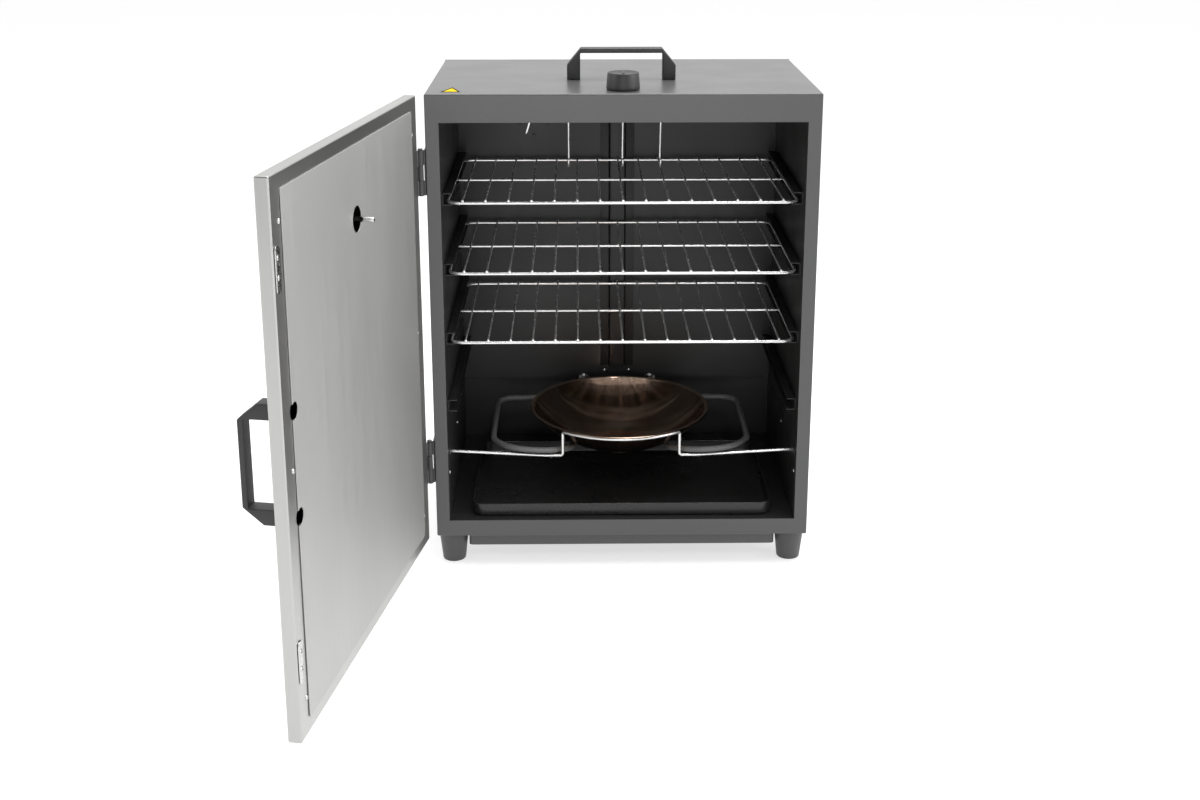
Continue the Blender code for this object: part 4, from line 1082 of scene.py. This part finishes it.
shares = [i / 22 for i in range(23)]
bowl_line = [(0, FLOOR + THICK), (FOOT_R * 0.8, FLOOR + THICK), *(dish(s, THICK) for s in shares[:-1])]
bowl_line += [(WALL_R - 0.0002, RIM_TOP - 0.0003), (WALL_R + 0.0010, RIM_TOP), (0.1010, RIM_TOP)]
bowl_line += [(0.1016, RIM_TOP - 0.0002), (0.1020, RIM_TOP - 0.0007), (0.1017, RIM_TOP - 0.0013)]
bowl_line += [(0.1008, RIM_TOP - 0.0009), *(dish(s, 0) for s in reversed(shares))]
bowl_line += [(FOOT_R + 0.0009, FLOOR - 0.0012), (FOOT_R + 0.0004, FOOT_LOW + 0.0004)]
bowl_line += [(FOOT_R - 0.0003, FOOT_LOW)]
bowl_line += [(FOOT_R - 0.0014, FOOT_LOW + 0.0002), (FOOT_R - 0.0018, FLOOR - 0.0009), (0, FLOOR - 0.0009)]
BOWL_Y = -0.003
bowl = spin_round("chip_dish", bowl_line, (0, BOWL_Y, 0), steps=128)
hand_in(bowl, bowl_tint, "bowl", "chip_bowl")

# %% [markdown]
# ## Bowl carriers
#
# Two bent wires hold the bowl by the underside of its lip. The front one comes in from the side walls, and
# the rear one comes straight out of the back wall, below the heater. The route is drawn through its bends,
# whose sharp corners are rounded by a bevel of their points before the line gets its thickness.

# %% Carrier wires
CARRIER_R = 0.00175
BOWL_R, CLEARANCE, GRIP = 0.102, 0.0003, 40
ARC_R = BOWL_R - CLEARANCE - CARRIER_R
up_x, half_y = ARC_R * math.sin(math.radians(GRIP)), ARC_R * math.cos(math.radians(GRIP))
under_lip = RIM_TOP - THICK - CLEARANCE - CARRIER_R
side_run = [(-0.189, -half_y, 0.094), (-0.182, -half_y, 0.0937), (-up_x - 0.018, -half_y, 0.088)]
back_run = [(-up_x, 0.127, 0.088)]
for name, sign, run in (("front", -1, side_run), ("rear", 1, back_run)):
    left = run + [(-up_x, sign * half_y, 0.088), (-up_x, sign * half_y, under_lip)]
    grip = [(x, sign * y, under_lip) for x, y in arc((0, 0), ARC_R, 90 + GRIP, 90 - GRIP, 20)[1:-1]]
    right = [(-x, y, z) for x, y, z in reversed(left)]
    line = [(x, y + BOWL_Y, z) for x, y, z in left + grip + right]
    carrier = draw_line(f"carrier_wire_{name}", line)
    leave_edit()
    round_corners(carrier, 0.0030, 5, lambda at: abs(abs(at.x) - up_x) < 0.001 and at.y < 0.12)
    thicken(carrier, CARRIER_R, 4)
    hand_in(carrier, chrome_wire, "cabinet", f"bowl_carrier_{name}")

# %% [markdown]
# ## Heater
#
# The heater is one sealed tube with a resistance wire inside. It leaves the back wall, runs out to each
# side, turns forward, doubles back in a loop and passes under the bowl. Its route is a smooth curve through
# the bends. Two hexagonal nuts hold its ends in the wall.


# %% Heater tube
def smooth_route(points, steps):
    """A Catmull-Rom curve through the points."""
    points = [Vector(p) for p in points]
    ends = [2 * points[0] - points[1], *points, 2 * points[-1] - points[-2]]
    route = []
    for a, b, c, d in zip(ends, ends[1:], ends[2:], ends[3:]):
        for i in range(steps):
            t = i / steps
            cubic = (3 * b - a - 3 * c + d) * t**3
            route.append(0.5 * (2 * b + (c - a) * t + (2 * a - 5 * b + 4 * c - d) * t**2 + cubic))
    return [*route, points[-1]]


HEATER_R, HEATER_Z = 0.0032, 0.0975
half = [(-0.040, 0.127, 0.108), (-0.040, 0.103, 0.108), (-0.046, 0.087, 0.105)]
half += [(-0.066, 0.0825, 0.1005), (-0.110, 0.0805, HEATER_Z)]
half += [(x, y, HEATER_Z) for x, y in arc((-0.122, 0.0605), 0.020, 90, 180, 3)]
drops = (0, 0, 0, 0, 0.0008, 0.0026, 0.0056, 0.0100, 0.0150)
half += [(x, y, HEATER_Z - d) for (x, y), d in zip(arc((-0.098, -0.0405), 0.044, 180, 360, 8), drops)]
half.append((-0.054, -0.02175, 0.07675))
half += [(x, y, 0.075) for x, y in arc((0, BOWL_Y), 0.054, 180, 90, 5)]
whole = [*half, *[(-x, y, z) for x, y, z in reversed(half[:-1])]]
heater = draw_line("heater_tube", smooth_route(whole, 4))
leave_edit()
thicken(heater, HEATER_R, 5)
hand_in(heater, heater_sheath, "cabinet", "heating_element")


# %% Nuts of the heater
def hex_nut(name, centre, radius, depth, swell, angle):
    """A hexagonal nut along Y, with both ends raised a little."""
    nut = add_drum(name, centre, radius, depth, "Y", 6)
    pick(nut, "FACE", lambda at, facing: abs(facing.y) > 0.9)
    bpy.ops.mesh.inset(thickness=0.0012)
    bpy.ops.mesh.extrude_region_shrink_fatten(TRANSFORM_OT_shrink_fatten={"value": swell})
    leave_edit()
    soften(nut, 0.0003, 2, angle)
    smooth(nut, 25)
    return nut


for side in ("left", "right"):
    low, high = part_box(f"heater_nut_{side}")
    nut = hex_nut(f"heater_hex_nut_{side}", (low + high) / 2, 0.0075, high.y - low.y, 0.0005, 30)
    hand_in(nut, bright_steel, "cabinet", f"heater_nut_{side}")

# %% [markdown]
# ## Drip tray
#
# The tray is pressed from thin steel and enamelled black. It starts as a box: the upright corners are
# rounded, the top comes off, the floor edge is rounded, the sheet gets its thickness, and a thin hem runs
# round the rim, which shows as a bright line.

# %% Tray
tray_low, tray_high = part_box("drip_tray")
HEM_R = 0.0009
tray = rounded_box("drip_pan", tray_low, tray_high - Vector((0, 0, 0.0006)), 2, 0.014, 8)
pick(tray, "FACE", lambda at, facing: facing.z > 0.9)
bpy.ops.mesh.delete(type="FACE")
pick(tray, "EDGE", lambda at, along: at.z < tray_low.z + 0.0001)
bpy.ops.mesh.bevel(offset=0.0028, segments=4)
leave_edit()
give_wall(tray, 0.0009)
smooth(tray)
hem_x, hem_z = tray_high.x - HEM_R, tray_high.z - HEM_R
hem = wire_frame("hem", hem_x, tray_low.y + HEM_R, tray_high.y - HEM_R, hem_z, 0.0131, 8)
thicken(hem, HEM_R, 3)
tray = join_as("drip_pan", hem, tray)
hand_in(tray, tray_enamel, "tray", "drip_tray")

# %% [markdown]
# ## Door
#
# The real door is a steel pan whose edges fold over into a flange, with a second sheet riveted on inside.
# It is easiest to model shut, square to the axes, and then to swing open about its hinge axis. The pan is a
# box with its inner face inset and opened; the inner sheet is a thin box with its holes cut by Booleans.

# %% Swinging a piece open
HINGE_AXIS = Vector((-0.205, -0.1315, 0))
OPEN_TURN = math.radians(-100)
DOOR_IN, DOOR_OUT, DOOR_SHEET = -0.1332, -0.1452, 0.0008
CASE_Z = (0.016, 0.496)
HANDLE_X, HANDLE_Z, SCREW_GAP = 0.176, 0.256, 0.0455
DIAL = Vector((0, DOOR_OUT, 0.4165))
to_hinge = Matrix.Translation(HINGE_AXIS)
open_turn = to_hinge @ Matrix.Rotation(OPEN_TURN, 4, "Z") @ to_hinge.inverted()


def hang(piece, finish, body, *nodes):
    """Turns a piece of the shut door to where the door stands open, and hands it in."""
    select_only(piece)
    piece.matrix_world = open_turn
    settle()
    hand_in(piece, finish, body, *nodes)


def access_holes(y):
    """Two short drums that cut the holes over the handle's screws."""
    spots = [(HANDLE_X, y, HANDLE_Z + sign * SCREW_GAP) for sign in (-1, 1)]
    return [add_drum("access", spot, 0.0075, 0.006, "Y", 32) for spot in spots]


# %% Door pan
door = add_box("door_pan", (-0.2, DOOR_OUT, CASE_Z[0]), (0.2, DOOR_IN, CASE_Z[1]))
pick(door, "FACE", lambda at, facing: facing.y > 0.9)
bpy.ops.mesh.inset(thickness=0.026)
bpy.ops.mesh.delete(type="FACE")
leave_edit()
soften(door, 0.0014, 4, 60)
give_wall(door, DOOR_SHEET)
cut_away(door, *access_holes(DOOR_IN))
smooth(door)
weigh_normals(door)
hang(door, pan_steel, "door", "door_outer_panel")

# %% Inner sheet of the door
sheet_in = DOOR_IN + 0.0003
sheet_face = sheet_in + DOOR_SHEET
inner = rounded_box("door_inner_sheet", (-0.180, sheet_in, 0.029), (0.180, sheet_face, 0.483), 1, 0.002, 3)
access = access_holes(sheet_in)
dial_hole = add_drum("dial_hole", (0, sheet_in, DIAL.z), 0.012, 0.006, "Y", 48)
cut_away(inner, *access, dial_hole)
soften(inner, 0.00022, 2, 50)
smooth(inner)
weigh_normals(inner)
hang(inner, door_steel, "door", "door_inner_panel")

# %% Rivets round the inner sheet, catch plates and their screws
# The catch screws are sunk by this much, so that the shut door clears the case.
SUNK_CATCH, CATCH_HALF = 0.0010, 0.019
rivet_spots = [(sx * 0.1835, DOOR_IN, z) for sx in (-1, 1) for z in (0.050, 0.253, 0.458)]
door_rivets = fix("door_rivets", rivet, rivet_spots, (0, 1, 0))
hang(door_rivets, bright_steel, "door")
for name, z in (("lower", 0.088), ("upper", 0.422)):
    low, high = (0.1875, sheet_in, z - CATCH_HALF), (0.1975, sheet_face, z + CATCH_HALF)
    plate = rounded_box(f"catch_plate_{name}", low, high, 1, 0.0035, 5)
    soften(plate, 0.0002, 2, 50)
    smooth(plate)
    hang(plate, bright_steel, "door", f"door_catch_{name}")
    spots = [(0.1925, sheet_face - SUNK_CATCH, z + dz) for dz in (0.0095, -0.0065)]
    screws = fix(f"catch_screws_{name}", screw_small, spots, (0, 1, 0))
    hang(screws, bright_steel, "door")

# %% Door handle and its screws
door_grip = make_handle("door_grip", 0.105)
# This turns the handle so that it lies along Z and points away from the door's outside.
lay_out = Matrix(((0, 1, 0, 0), (0, 0, -1, 0), (1, 0, 0, 0), (0, 0, 0, 1)))
select_only(door_grip)
door_grip.matrix_world = Matrix.Translation((HANDLE_X, DOOR_OUT - 0.0003, HANDLE_Z)) @ lay_out
settle()
face_out(door_grip)
smooth(door_grip, 30)
hang(door_grip, handle_plastic, "door", "door_handle")
for name, sign in (("lower", -1), ("upper", 1)):
    spot = (HANDLE_X, DOOR_OUT + 0.0011, HANDLE_Z + sign * SCREW_GAP)
    screw = copy_of(screw_large, f"handle_screw_{name}", spot, (0, 1, 0))
    hang(screw, bright_steel, "door", f"door_handle_screw_{name}")

# %% [markdown]
# ## Dial thermometer
#
# The dial sits on the outside of the door, and its stem reaches through into the cabinet. The case is a
# turned cup with a rolled bezel. The dial card carries plain tick marks and no lettering, and the needle
# turns on its own body.

# %% Dial case, card and glass
# R is the dial's radius, and T is how far it stands out from the door.
R, T = 0.026, 0.011
cup = [(0, 0.0003), (R - 0.002, 0.0003), (R - 0.0006, 0.0012), (R - 0.0004, T - 0.0022), (R, T - 0.0018)]
cup += [(R, T - 0.0006), (R - 0.0005, T), (R - 0.0012, T), (R - 0.0016, T - 0.0004), (R - 0.0018, T - 0.0009)]
cup += [(R - 0.0018, 0.0036), (0, 0.0036)]
dial_case = spin_round("dial_case", cup, DIAL, "Y", 72)
bush = add_drum("bush", DIAL + Vector((0, 0.0027, 0)), 0.0044, 0.0074, "Y", 32)
soften(bush, 0.0004, 2, 60)
spindle = add_drum("spindle", DIAL - Vector((0, 0.0055, 0)), 0.0010, 0.0034, "Y", 16)
dial_case = join_as("dial_case", bush, spindle, dial_case)
smooth(dial_case)
hang(dial_case, bright_steel, "door", "thermometer_case")

card = add_drum("dial_card_disc", DIAL - Vector((0, 0.0039, 0)), R - 0.0019, 0.0004, "Y", 72)
soften(card, 0.0001, 1, 60)
hang(card, dial_card, "door")
on_card = Matrix.Translation(DIAL - Vector((0, 0.0042, 0)))
ticks = []
for i in range(31):
    major = i % 5 == 0
    angle = math.radians(225 - 9 * i)
    length, wide = (0.0036, 0.00042) if major else (0.0020, 0.00022)
    tick = add_box("tick", (-wide, 0, 0.0222 - length), (wide, 0.0001, 0.0222))
    select_only(tick)
    tick.matrix_world = on_card @ Matrix.Rotation(math.pi / 2 - angle, 4, "Y")
    ticks.append(settle())
ticks = join_as("dial_ticks", *ticks)
hang(ticks, dial_ink, "door")

glass_line = [(0, T - 0.0019), (R - 0.0022, T - 0.0019), (R - 0.0022, T - 0.0010), (R * 0.5, T - 0.0006)]
glass = spin_round("dial_window", [*glass_line, (0, T - 0.0005)], DIAL, "Y", 64)
hang(glass, dial_glass, "door", "thermometer_glass")

# %% Needle, nut and stem
needle_y = DIAL.y - 0.0052
points = [(-0.0012, -0.006), (0.0012, -0.006), (0.0008, 0.008)]
points += [(0.0003, 0.0190), (-0.0003, 0.0190), (-0.0008, 0.008)]
needle = push_outline("dial_needle", [(x, needle_y, DIAL.z + z) for x, z in points], (0, 0.0005, 0))
hub = add_drum("hub", (0, needle_y + 0.0001, DIAL.z), 0.0030, 0.0013, "Y", 32)
soften(hub, 0.0003, 2, 60)
needle = join_as("dial_needle", hub, needle)
smooth(needle)
hang(needle, needle_red, "needle", "thermometer_needle")

nut = hex_nut("stem_nut", (0, DIAL.y + 0.0028, DIAL.z), 0.0085, 0.0034, 0.0003, 25)
hang(nut, bright_steel, "door", "thermometer_nut")
stem_line = [(0, 0.0), (0.0021, 0.0), (0.0021, 0.0150), (0.0024, 0.0155)]
stem_line += [(0.0024, 0.0268), (0.0019, 0.0278), (0, 0.0281)]
stem_line = [(r, -0.0010 - h) for r, h in stem_line]
stem = spin_round("dial_stem", stem_line, DIAL, "Y", 32)
hang(stem, bright_steel, "door", "thermometer_stem")

# %% [markdown]
# ## Hinges
#
# Each hinge has a leaf on the case, a leaf on the door and three knuckles on a pin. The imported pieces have
# the right shape already, so they keep their meshes and take the dark paint. Only the leaf screws are new,
# and they are sunk, so that the leaves can fold together.

# %% Hinge screws
SUNK_HINGE = 0.0014
for name in ("lower", "upper"):
    low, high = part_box(f"hinge_leaf_case_{name}")
    middle = (low + high) / 2
    spots = [(low.x + SUNK_HINGE, middle.y + 0.004, middle.z + dz) for dz in (-0.015, 0.015)]
    screws = fix(f"hinge_screws_{name}", screw_small, spots, (-1, 0, 0))
    hand_in(screws, hinge_paint, "cabinet")

# %% [markdown]
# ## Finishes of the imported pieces
#
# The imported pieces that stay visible, such as the liner, the vent and the hinge leaves, take the same
# finishes as the new ones. The hidden ones get theirs too, so that no piece is left plain.

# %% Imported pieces
PACKED_FINISHES = {
    case_paint: ("outer_case", "rear_cover", "base_pan"),
    liner_steel: ("inner_liner", "wiring_channel", "vent_collar", "vent_shutter"),
    dark_gap: ("thermostat_body",),
    hinge_paint: tuple(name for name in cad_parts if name.startswith("hinge_")),
}
finish_of = {name: finish for finish, names in PACKED_FINISHES.items() for name in names}
for name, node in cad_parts.items():
    node.data.materials.clear()
    node.data.materials.append(finish_of.get(name, bright_steel))

for master in (screw_small, screw_large, rivet):
    bpy.data.objects.remove(master)
